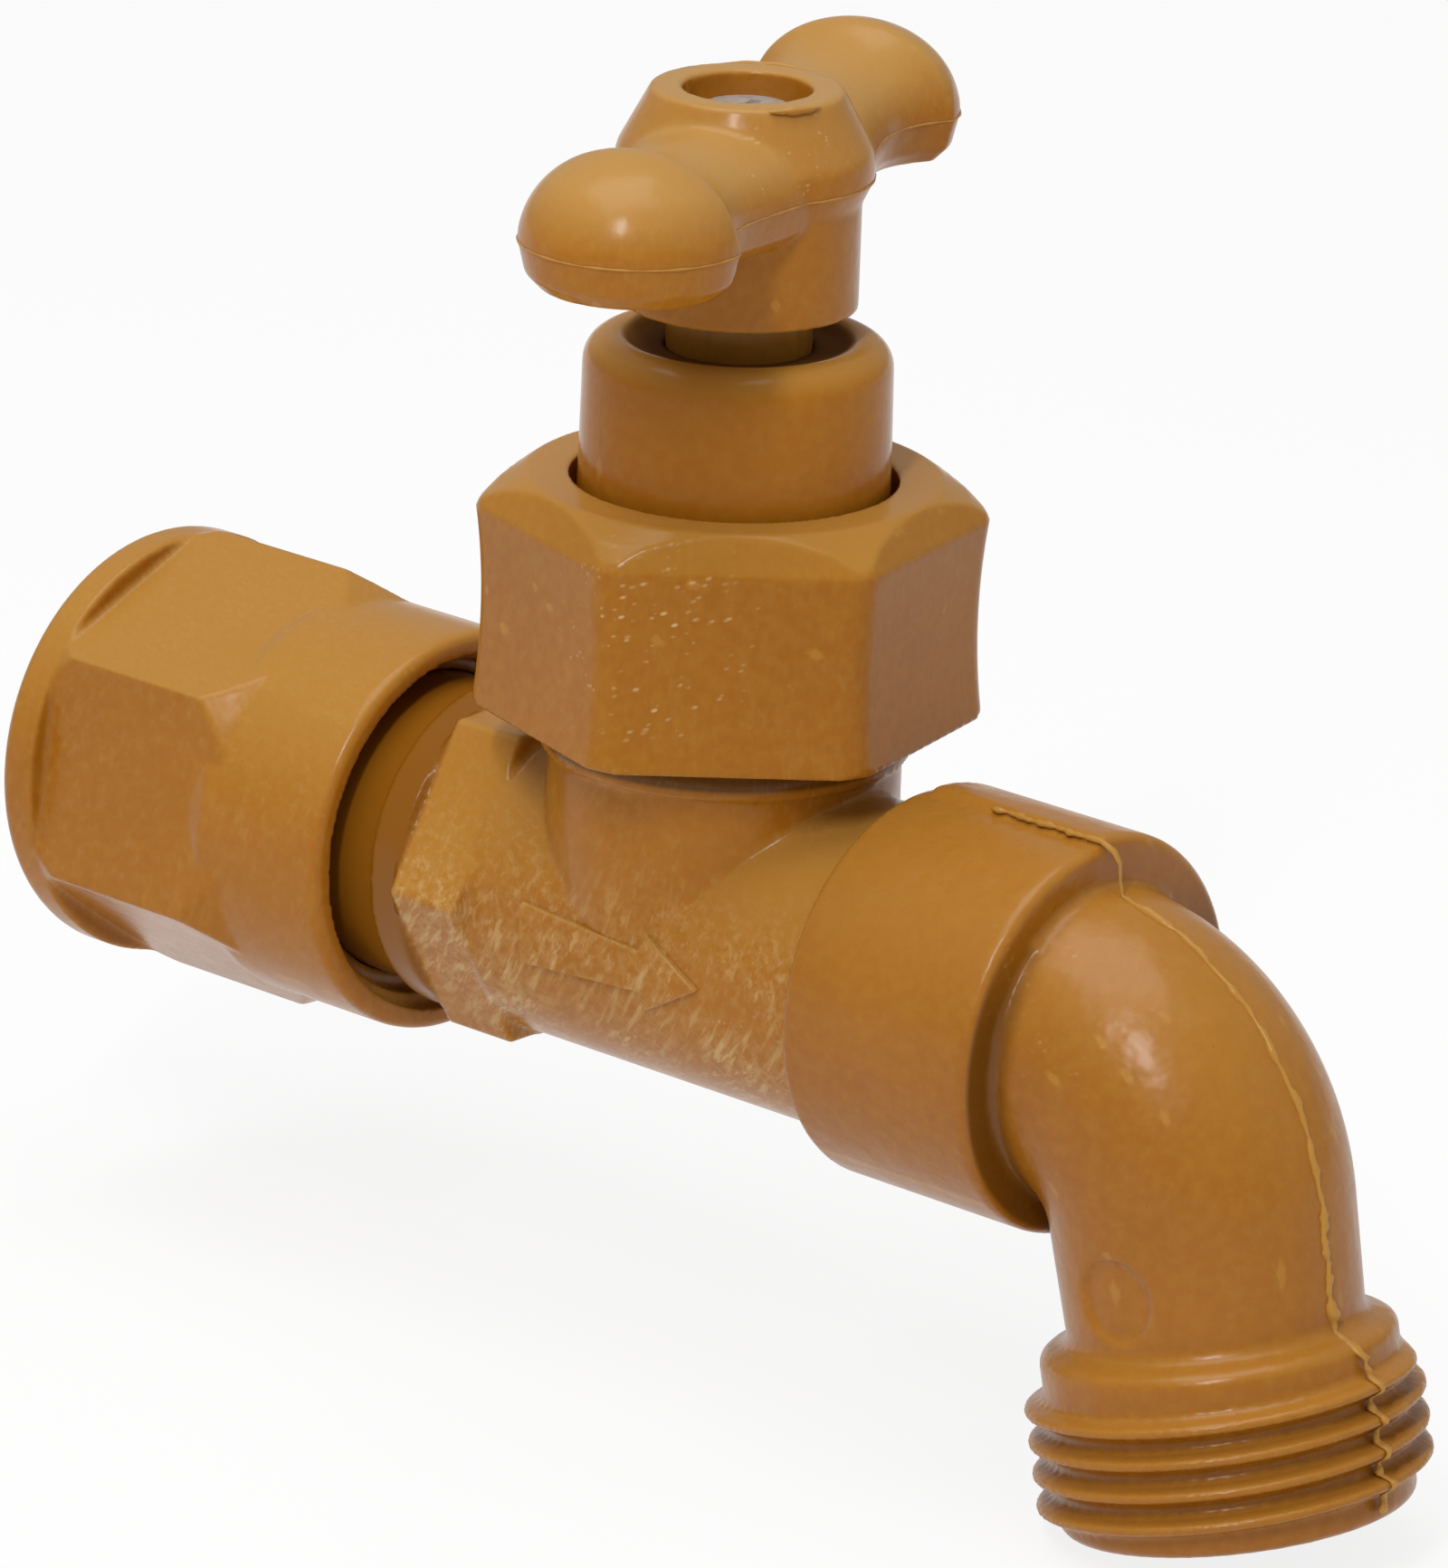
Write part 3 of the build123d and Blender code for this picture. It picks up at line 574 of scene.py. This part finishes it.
PLASTICS = {
    "tap_body": plastic("body_plastic", frost=0.75, specks=BODY_SPECKS, body=True),
    "inlet_nut": plastic("inlet_nut_plastic", frost=0.1, shift=0.11),
    "bonnet_nut": plastic(
        "bonnet_nut_plastic",
        frost=0.06,
        specks=NUT_SPECKS,
        shift=0.27,
        shades=NUT_SHADED_TONES,
        dull=(0.14, 0.25),
        shine=0.15,
    ),
    "bonnet": plastic("bonnet_plastic", shift=0.33, dull=(0.14, 0.25), shine=0.15, dish_shadow=True),
    "handle": plastic(
        "handle_plastic",
        frost=0.06,
        specks=HUB_SPECKS,
        shift=0.46,
        top_light_tint=HANDLE_TOP_LIGHT_TINT,
        waves=0.09,
    ),
    "spout": plastic(
        "spout_plastic",
        specks=SPOUT_SPECKS,
        shift=0.62,
        shades=SPOUT_SHADED_TONES,
        top_light=0.45,
        waves=0.14,
        dull=(0.22, 0.34),
        shine=0.3,
        corner=True,
    ),
}
FLASH_PLASTIC = plastic("flash_plastic", shift=0.71, shades=FLASH_SHADES)
# Painted shade: the spindle is made dark, as the shaded gap under the handle
SHADED_SPINDLE_PLASTIC = plastic("spindle_shade_plastic", shift=0.84, shades=(OCHRE_DARK, OCHRE_SHADED))
STEEL = plain_material("screw_steel", (0.6, 0.58, 0.55), (0.82, 0.8, 0.77), 1500, 0.46, 1.0)
RUBBER = plain_material("seal_rubber", (0.012, 0.012, 0.012), (0.035, 0.034, 0.033), 2000, 0.62)
NATURAL = plain_material("inner_plastic", (0.6, 0.57, 0.5), (0.74, 0.71, 0.63), 300, 0.45)
BRASS = plain_material("screw_brass", (0.5, 0.33, 0.1), (0.68, 0.47, 0.17), 1200, 0.32, 1.0)

INNER = {
    "spindle": SHADED_SPINDLE_PLASTIC,
    "jumper": NATURAL,
    "thrust_ring": NATURAL,
    "thrust_washer": NATURAL,
    "pipe_seal": RUBBER,
    "spout_seal": RUBBER,
    "bonnet_gasket": RUBBER,
    "lower_spindle_seal": RUBBER,
    "upper_spindle_seal": RUBBER,
    "seat_washer": RUBBER,
    "grab_ring": STEEL,
    "handle_screw": STEEL,
    "washer_screw": BRASS,
}


def dress(piece, material):
    piece.data.materials.clear()
    piece.data.materials.append(material)


for name, material in INNER.items():
    dress(nodes[name], material)


# Mesh helpers


def mesh_piece(name, points, faces):
    """Object from points in millimetres."""
    mesh = bpy.data.meshes.new(name)
    mesh.from_pydata((np.asarray(points) * MM).tolist(), [], faces)
    shell = bmesh.new()
    shell.from_mesh(mesh)
    bmesh.ops.recalc_face_normals(shell, faces=shell.faces)
    shell.to_mesh(mesh)
    shell.free()
    piece = bpy.data.objects.new(name, mesh)
    bpy.context.scene.collection.objects.link(piece)
    return piece


def ring_faces(rings, points, first=0):
    """Quads of a closed shell whose rings go all round in both directions."""
    faces = []
    for ring in range(rings):
        here = first + ring * points
        there = first + (ring + 1) % rings * points
        for point in range(points):
            after = (point + 1) % points
            faces.append((here + point, here + after, there + after, there + point))
    return faces


def capped_faces(rings, points):
    """Quads of a row of rings, with a face over each end."""
    last = (rings - 1) * points
    faces = ring_faces(rings, points)[:last]
    faces.append(tuple(range(points))[::-1])
    faces.append(tuple(range(last, last + points)))
    return faces


def baked(piece):
    """Puts what the modifiers make into the piece's own mesh."""
    graph = bpy.context.evaluated_depsgraph_get()
    made = bpy.data.meshes.new_from_object(piece.evaluated_get(graph))
    piece.modifiers.clear()
    piece.data = made
    made.name = piece.name
    return piece


# Skins over the solids


def soften(piece, voxel, rounds, share):
    """One closed skin with soft edges, as a moulded piece has."""
    remesh = piece.modifiers.new("remesh", "REMESH")
    remesh.mode = "VOXEL"
    remesh.voxel_size = voxel * MM
    remesh.use_smooth_shade = True
    smooth = piece.modifiers.new("smooth", "SMOOTH")
    smooth.factor = SMOOTH_FACTOR
    smooth.iterations = rounds
    thin = piece.modifiers.new("thin", "DECIMATE")
    thin.ratio = share
    baked(piece)
    piece.data.shade_smooth()
    return piece


def blend_hub(piece):
    """Runs the hub and the bar into each other above the parting line."""
    points = np.array([v.co for v in piece.data.vertices]) / MM
    from_axis = np.hypot(points[:, 0] - SPINDLE_X, points[:, 1])
    above = smoothstep(PARTING_Z + BLEND_LOW, PARTING_Z + BLEND_HIGH, points[:, 2])
    weights = above * smoothstep(HUB_TOP_R + BLEND_INNER, HUB_TOP_R + BLEND_OUTER, from_axis)
    group = piece.vertex_groups.new(name="blend")
    for index in np.nonzero(weights > BLEND_LEAST)[0]:
        group.add([int(index)], float(weights[index]), "REPLACE")
    smooth = piece.modifiers.new("blend", "SMOOTH")
    smooth.factor = SMOOTH_FACTOR
    smooth.iterations = BLEND_ROUNDS
    smooth.vertex_group = group.name
    baked(piece)
    piece.vertex_groups.clear()


def clear_stop(piece):
    """Leaves room under the bonnet's shoulder for the washer that stops there."""
    for vertex in piece.data.vertices:
        place = vertex.co / MM
        if math.hypot(place.x - SPINDLE_X, place.y) < STOP_R:
            share = 1 - smoothstep(STOP_NEAR, STOP_FAR, abs(place.z - STOP_Z))
            vertex.co.z += STOP_ROOM * MM * float(share)


def finish_piece(piece, material, node):
    dress(piece, material)
    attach(piece, nodes[node]["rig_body"])
    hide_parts(node)
    return piece


def skin_of(name):
    """Soft-edged copy of a node, which stands for it."""
    piece = bpy.data.objects.new(name + "_skin", nodes[name].data.copy())
    bpy.context.scene.collection.objects.link(piece)
    soften(piece, *SKINS[name])
    if name == "handle":
        blend_hub(piece)
    if name == "bonnet":
        clear_stop(piece)
    return finish_piece(piece, PLASTICS[name], name)


for name in SKINS:
    skin_of(name)

# Spout: collar and elbow shells, joined into one skin. A run counts from the start of the bend.

BEND_TURN = math.pi / 2 - OUTLET_TILT
BEND_LENGTH = BEND_R * BEND_TURN
TANGENT = BEND_R * math.tan(BEND_TURN / 2)
CORNER_X = OUTLET_X + OUTLET_Z * math.tan(OUTLET_TILT)
BEND_X = CORNER_X - TANGENT
RIDGE_RUN = BEND_LENGTH - OUTLET_Z / math.cos(OUTLET_TILT) - TANGENT
ELBOW_START_RUN = BODY_END - BEND_X
FACE_RUN = COLLAR_END - BEND_X
AROUND = np.linspace(0, FULL_TURN, RING_POINTS, endpoint=False)


def spout_frame(run):
    """Centre and outward direction at a run along the spout."""
    turn = min(max(run, 0.0), BEND_LENGTH) / BEND_R
    outward = np.array([math.sin(turn), 0.0, math.cos(turn)])
    along = np.array([math.cos(turn), 0.0, -math.sin(turn)])
    centre = np.array([BEND_X, 0.0, -BEND_R]) + BEND_R * outward
    past = run - turn * BEND_R
    return centre + past * along, outward


def spout_ring(run, radius):
    centre, outward = spout_frame(run)
    radius = np.broadcast_to(radius, AROUND.shape)
    across = np.cos(AROUND)[:, None] * outward + np.sin(AROUND)[:, None] * NEAR
    return centre + radius[:, None] * across


def thread_height(depth):
    """Share of the full ridge at each point round the outlet, at a depth under the first ridge."""
    offset = (AROUND + THREAD_PHASE) % FULL_TURN / FULL_TURN - 0.5
    height = np.zeros_like(AROUND)
    for turn in THREAD_TURNS:
        place = turn + offset
        away = np.abs(depth - THREAD_PITCH * place)
        ridge = 1 - smoothstep(THREAD_CREST_HALF, THREAD_ROOT_HALF, away)
        started = smoothstep(THREAD_FIRST_TURN, THREAD_FIRST_TURN + THREAD_RUNOUT, place)
        ended = 1 - smoothstep(THREAD_LAST_TURN - THREAD_RUNOUT, THREAD_LAST_TURN, place)
        height = np.maximum(height, ridge * started * ended)
    return height


def elbow_radius(run):
    """The elbow tapers from the collar to the outlet's shoulder."""
    ends = [ELBOW_START_RUN, RIDGE_RUN - OUTLET_SHOULDER]
    return float(np.interp(run, ends, [ELBOW_ROOT_R, ELBOW_R]))


def elbow_ring(run):
    """Ring of the elbow, with its fillet on the collar's face and the round moulding mark."""
    radius = np.full(RING_POINTS, elbow_radius(run))
    depth = run - RIDGE_RUN
    from_mark = np.hypot((AROUND - math.pi / 2) * ELBOW_R, depth - MARK_PLACE)
    radius -= MARK_DEPTH * (1 - smoothstep(MARK_R - MARK_EDGE, MARK_R, from_mark))
    from_face = spout_ring(run, radius)[:, 0] - COLLAR_END
    gap = np.clip(COLLAR_FILLET - from_face, 0, COLLAR_FILLET)
    swell = COLLAR_FILLET - np.sqrt(COLLAR_FILLET**2 - gap**2)
    radius += np.where(from_face > 0, swell, 0.0)
    return spout_ring(run, radius)


def elbow_rings():
    """Rings down the outside of the elbow and outlet, and back up the bore."""
    rings = [elbow_ring(run) for run in np.arange(ELBOW_START_RUN, RIDGE_RUN - ELBOW_FOOT, ELBOW_STEP)]
    for depth, radius in SHOULDER_RINGS:
        rings.append(spout_ring(RIDGE_RUN + depth, radius))
    for depth in np.arange(THREAD_TOP, OUTLET_END - OUTLET_ROUND, THREAD_STEP):
        radius = THREAD_ROOT_R + (THREAD_R - THREAD_ROOT_R) * thread_height(depth)
        rings.append(spout_ring(RIDGE_RUN + depth, radius))
    for depth, radius in MOUTH_RINGS:
        rings.append(spout_ring(RIDGE_RUN + depth, radius))
    for run in np.arange(RIDGE_RUN + BORE_TOP, ELBOW_START_RUN, -BORE_STEP):
        rings.append(spout_ring(run, BORE_R))
    rings.append(spout_ring(ELBOW_START_RUN, BORE_R))
    return rings


def collar_ring(place, radius):
    radius = np.broadcast_to(radius, AROUND.shape)
    along = np.full(RING_POINTS, place)
    return np.column_stack([along, -radius * np.sin(AROUND), radius * np.cos(AROUND)])


def collar_rings():
    """Rings of the collar, whose far half stands out by a small step."""
    far = smoothstep(-STEP_SOFTNESS, STEP_SOFTNESS, -np.sin(AROUND) * COLLAR_R)
    profile = [(SPOUT_START, SOCKET_R), (SPOUT_START, COLLAR_R - COLLAR_LIP)]
    profile.append((SPOUT_START + COLLAR_LIP, COLLAR_R))
    for place in np.arange(SPOUT_START + COLLAR_PLAIN, COLLAR_END - COLLAR_ROUND, COLLAR_STEP):
        profile.append((place, COLLAR_R))
    for angle in np.linspace(0, math.pi / 2, COLLAR_ROUND_RINGS):
        place = COLLAR_END - COLLAR_ROUND * (1 - math.sin(angle))
        profile.append((place, COLLAR_R - COLLAR_ROUND * (1 - math.cos(angle))))
    outer = len(profile)
    profile += [(COLLAR_END, COLLAR_INNER_R), (BODY_END, COLLAR_INNER_R), (BODY_END, SOCKET_R)]
    rings = []
    for index, (place, radius) in enumerate(profile):
        inset = smoothstep(0, FAR_HALF_RAMP, place - SPOUT_START - FAR_HALF_INSET)
        step = FAR_HALF_STEP * far * inset if 0 < index < outer else 0.0
        rings.append(collar_ring(place, radius + step))
    return rings


def make_spout():
    collar, elbow = collar_rings(), elbow_rings()
    faces = ring_faces(len(collar), RING_POINTS)
    faces += ring_faces(len(elbow), RING_POINTS, len(collar) * RING_POINTS)
    piece = mesh_piece("spout_skin", np.vstack(collar + elbow), faces)
    soften(piece, *SPOUT_SKIN)
    return finish_piece(piece, PLASTICS["spout"], "spout")


make_spout()

# Flow arrow


def arrow_half_width(place):
    places = [ARROW_TAIL, ARROW_NECK, ARROW_HEAD, ARROW_TIP]
    return np.interp(place, places, [ARROW_TAIL_HALF, ARROW_NECK_HALF, ARROW_HEAD_HALF, ARROW_TIP_HALF])


def make_arrow():
    """Raised arrow that follows the round tube, with drafted sides."""
    stations = np.concatenate(
        [
            np.linspace(ARROW_TAIL, ARROW_NECK, ARROW_SHAFT_RINGS),
            np.linspace(ARROW_NECK, ARROW_HEAD, ARROW_NECK_RINGS)[1:],
            np.linspace(ARROW_HEAD, ARROW_TIP, ARROW_HEAD_RINGS)[1:],
        ]
    )
    root = (-ARROW_ROOT, ARROW_DRAFT)
    side = (ARROW_HEIGHT - ARROW_DRAFT, 0.0)
    top = (ARROW_HEIGHT, -ARROW_DRAFT)
    across = np.linspace(-1, 1, ARROW_ACROSS)
    section = [(-1.0, root), (-1.0, side)] + [(share, top) for share in across]
    section += [(1.0, side), (1.0, root)] + [(share, root) for share in across[-2:0:-1]]
    points = []
    for place in stations:
        for share, (height, draft) in section:
            half = max(arrow_half_width(place) + draft, ARROW_LEAST_HALF)
            angle = (ARROW_ARC + share * half) / TUBE_R
            radius = TUBE_R + height
            points.append((place, -radius * math.cos(angle), radius * math.sin(angle)))
    piece = mesh_piece("flow_arrow", points, capped_faces(len(stations), len(section)))
    dress(piece, PLASTICS["tap_body"])
    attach(piece, "tap")
    return piece


make_arrow()

# Beads of flash


def bead_ring(middle, size, first, second):
    """Ring of points round a middle, in the plane of two directions."""
    turns = FULL_TURN * np.arange(BEAD_SIDES)[:, None] / BEAD_SIDES
    return middle + size * (np.cos(turns) * first + np.sin(turns) * second)


def bead(name, rings, faces, node, material):
    """Bead through rings of points, riding with a node."""
    piece = mesh_piece(name, np.vstack(rings), faces)
    piece.data.shade_smooth()
    dress(piece, material)
    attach(piece, nodes[node]["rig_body"])
    return piece


def flash_line():
    """Outer line of the spout in its plane of symmetry, as runs and radii."""
    places = np.arange(COLLAR_END - FLASH_COLLAR_START, COLLAR_END - FLASH_COLLAR_STOP, FLASH_COLLAR_STEP)
    line = [(place - BEND_X, COLLAR_R + FLASH_COLLAR_RISE) for place in places]
    line += [(FACE_RUN + run, COLLAR_R + rise) for run, rise in FLASH_FACE]
    runs = np.arange(FACE_RUN + FLASH_ELBOW_START, RIDGE_RUN - ELBOW_FOOT, ELBOW_STEP)
    line += [(run, elbow_radius(run)) for run in runs]
    line += [(RIDGE_RUN + depth, radius) for depth, radius in FLASH_SHOULDER]
    for depth in np.arange(*FLASH_THREAD):
        ridge = FLASH_GROOVE + (1 - FLASH_GROOVE) * thread_height(depth)[0]
        radius = THREAD_ROOT_R + FLASH_THREAD_RISE + (THREAD_R - THREAD_ROOT_R) * ridge
        line.append((RIDGE_RUN + depth, radius))
    return line


def make_flash():
    """Uneven bead along the spout's parting line, calmer on the collar."""
    rings = []
    for run, radius in flash_line():
        centre, outward = spout_frame(run)
        on_collar = run < FACE_RUN
        calm = FLASH_CALM if on_collar else 1.0
        size = calm * FLASH_RADIUS * (1 + ripple(FLASH_SWELL, run))
        for place, extra, width in FLASH_BLOBS:
            size += extra * math.exp(-(((run - place) / width) ** 2))
        sway = calm * ripple(FLASH_SWAY, run)
        if on_collar:
            sway -= FLASH_NEAR
        rings.append(bead_ring(centre + radius * outward + sway * FAR, size, outward, FAR))
    return bead("spout_flash", rings, capped_faces(len(rings), BEAD_SIDES), "spout", FLASH_PLASTIC)


make_flash()


def make_lip(name, start, end, radius, height):
    """Crescent bead on the hub's rim, thin at both ends."""
    rim = np.array([SPINDLE_X, 0.0, HUB_TOP_Z - LIP_SINK])
    rings = []
    for share in np.arange(LIP_RINGS) / (LIP_RINGS - 1):
        turn = math.radians(start + (end - start) * share)
        outward = np.array([math.cos(turn), math.sin(turn), 0.0])
        crescent = LIP_END + (1 - LIP_END) * math.sin(math.pi * share)
        size = height * crescent * (1 + ripple(LIP_RIPPLE, share))
        rings.append(bead_ring(rim + radius * outward, size, outward, UP))
    return bead(name, rings, capped_faces(len(rings), BEAD_SIDES), "handle", PLASTICS["handle"])


for number, lip in enumerate(HUB_LIPS):
    make_lip(f"hub_lip_{number}", *lip)


def parting_outline():
    """Outline of the handle along its parting line, evenly spaced, from the spindle axis."""
    mesh = nodes["handle"].data
    points = np.array([v.co for v in mesh.vertices]) / MM
    offset = points[:, :2] - np.array([SPINDLE_X, 0.0])
    level = np.abs(points[:, 2] - PARTING_Z) < PARTING_REACH
    outside = level & (np.hypot(offset[:, 0], offset[:, 1]) > HUB_TOP_R)
    spots = [tuple(spot) for spot in np.round(offset, 2).tolist()]
    beside = {}
    for edge in mesh.edges:
        start, end = edge.vertices
        if outside[start] and outside[end] and spots[start] != spots[end]:
            beside.setdefault(spots[start], set()).add(spots[end])
            beside.setdefault(spots[end], set()).add(spots[start])
    line = [min(beside)]
    onward = beside[line[0]]
    while onward:
        line.append(min(onward))
        onward = beside[line[-1]].difference(line)
    line = np.array(line + line[:1])
    runs = np.concatenate([[0.0], np.cumsum(np.hypot(*np.diff(line, axis=0).T))])
    places = np.arange(0.0, runs[-1], PARTING_STEP)
    return np.column_stack([np.interp(places, runs, line[:, 0]), np.interp(places, runs, line[:, 1])])


def make_parting():
    """Fine ridge all round the handle's parting line."""
    outline = parting_outline()
    ahead = np.roll(outline, -1, axis=0) - np.roll(outline, 1, axis=0)
    outward = np.column_stack([ahead[:, 1], -ahead[:, 0]]) / np.hypot(*ahead.T)[:, None]
    rings = []
    for step, (place, away) in enumerate(zip(outline, outward)):
        middle = np.array([SPINDLE_X + place[0], place[1], PARTING_Z])
        size = PARTING_R * (1 + ripple(PARTING_RIPPLE, step))
        rings.append(bead_ring(middle, size, np.array([*away, 0.0]), UP))
    return bead("handle_parting", rings, ring_faces(len(rings), BEAD_SIDES), "handle", PLASTICS["handle"])


make_parting()

# Studio: pale floor, white surroundings, soft lamps. Sizes here are in metres.

FLOOR_HALF = 3.0
FLOOR_COLOUR = (0.86, 0.86, 0.86, 1)
FLOOR_GLOW = 0.85
WORLD_LIGHT = 0.39
# name, azimuth, elevation, distance, width, height, power
LAMPS = (
    ("key", 25, 45, 0.9, 0.07, 0.28, 3.1),
    ("top", -40, 82, 0.9, 0.7, 0.7, 4.6),
    ("side", 118, 22, 1.0, 0.7, 0.7, 0.25),
)


def make_floor():
    """White floor that the camera and reflections see bright, and that still takes the shadow."""
    level = cad_low.z / MM
    reach = FLOOR_HALF / MM
    corners = [(-reach, -reach, level), (reach, -reach, level), (reach, reach, level), (-reach, reach, level)]
    floor = mesh_piece("floor", corners, [(0, 1, 2, 3)])
    material = bpy.data.materials.new("floor_white")
    material.use_nodes = True
    tree = material.node_tree
    tree.nodes.clear()
    output = tree.nodes.new("ShaderNodeOutputMaterial")
    matte = node_of(tree, "ShaderNodeBsdfDiffuse", Color=FLOOR_COLOUR)
    glow = node_of(tree, "ShaderNodeEmission", Strength=1.0)
    rays = tree.nodes.new("ShaderNodeLightPath")
    seen = maths(tree, "MAXIMUM", rays.outputs["Is Camera Ray"], rays.outputs["Is Glossy Ray"])
    seen = maths(tree, "MAXIMUM", seen, rays.outputs["Is Transmission Ray"])
    mix = tree.nodes.new("ShaderNodeMixShader")
    tree.links.new(product(tree, seen, FLOOR_GLOW), mix.inputs["Fac"])
    tree.links.new(matte.outputs["BSDF"], mix.inputs[1])
    tree.links.new(glow.outputs["Emission"], mix.inputs[2])
    tree.links.new(mix.outputs["Shader"], output.inputs["Surface"])
    dress(floor, material)


def make_world():
    world = bpy.data.worlds.new("studio")
    world.use_nodes = True
    tree = world.node_tree
    tree.nodes.clear()
    output = tree.nodes.new("ShaderNodeOutputWorld")
    light = node_of(tree, "ShaderNodeBackground", Color=(1, 1, 1, 1), Strength=WORLD_LIGHT)
    tree.links.new(light.outputs["Background"], output.inputs["Surface"])
    bpy.context.scene.world = world


def direction(azimuth, elevation):
    """Unit vector from the object, with azimuth 0 at -Y and 90 at +X."""
    turn, rise = math.radians(azimuth), math.radians(elevation)
    return Vector((math.sin(turn) * math.cos(rise), -math.cos(turn) * math.cos(rise), math.sin(rise)))


def make_lamps():
    target = Vector(CAMERA_TARGET)
    for name, azimuth, elevation, distance, width, height, power in LAMPS:
        data = bpy.data.lights.new(name, "AREA")
        data.shape = "RECTANGLE"
        data.size = width
        data.size_y = height
        data.energy = power
        lamp = bpy.data.objects.new(name, data)
        lamp.location = target + direction(azimuth, elevation) * distance
        lamp.rotation_mode = "QUATERNION"
        lamp.rotation_quaternion = direction(azimuth, elevation).to_track_quat("Z", "Y")
        bpy.context.scene.collection.objects.link(lamp)


def make_camera():
    data = bpy.data.cameras.new("camera")
    data.sensor_width = CAMERA_SENSOR
    data.lens = CAMERA_LENS
    data.clip_start, data.clip_end = CAMERA_CLIP
    camera = bpy.data.objects.new("camera", data)
    azimuth, roll = math.radians(CAMERA_AZIMUTH), math.radians(CAMERA_ROLL)
    back = direction(CAMERA_AZIMUTH, CAMERA_ELEVATION)
    level = Vector((math.cos(azimuth), math.sin(azimuth), 0))
    rise = back.cross(level)
    right = level * math.cos(roll) + rise * math.sin(roll)
    up = rise * math.cos(roll) - level * math.sin(roll)
    place = Matrix((right, up, back)).transposed().to_4x4()
    place.translation = Vector(CAMERA_TARGET) + back * CAMERA_DISTANCE
    camera.matrix_world = place
    bpy.context.scene.collection.objects.link(camera)
    bpy.context.scene.camera = camera


make_floor()
make_world()
make_lamps()
make_camera()
bpy.context.scene.view_settings.view_transform = "Standard"

bpy.context.view_layer.update()
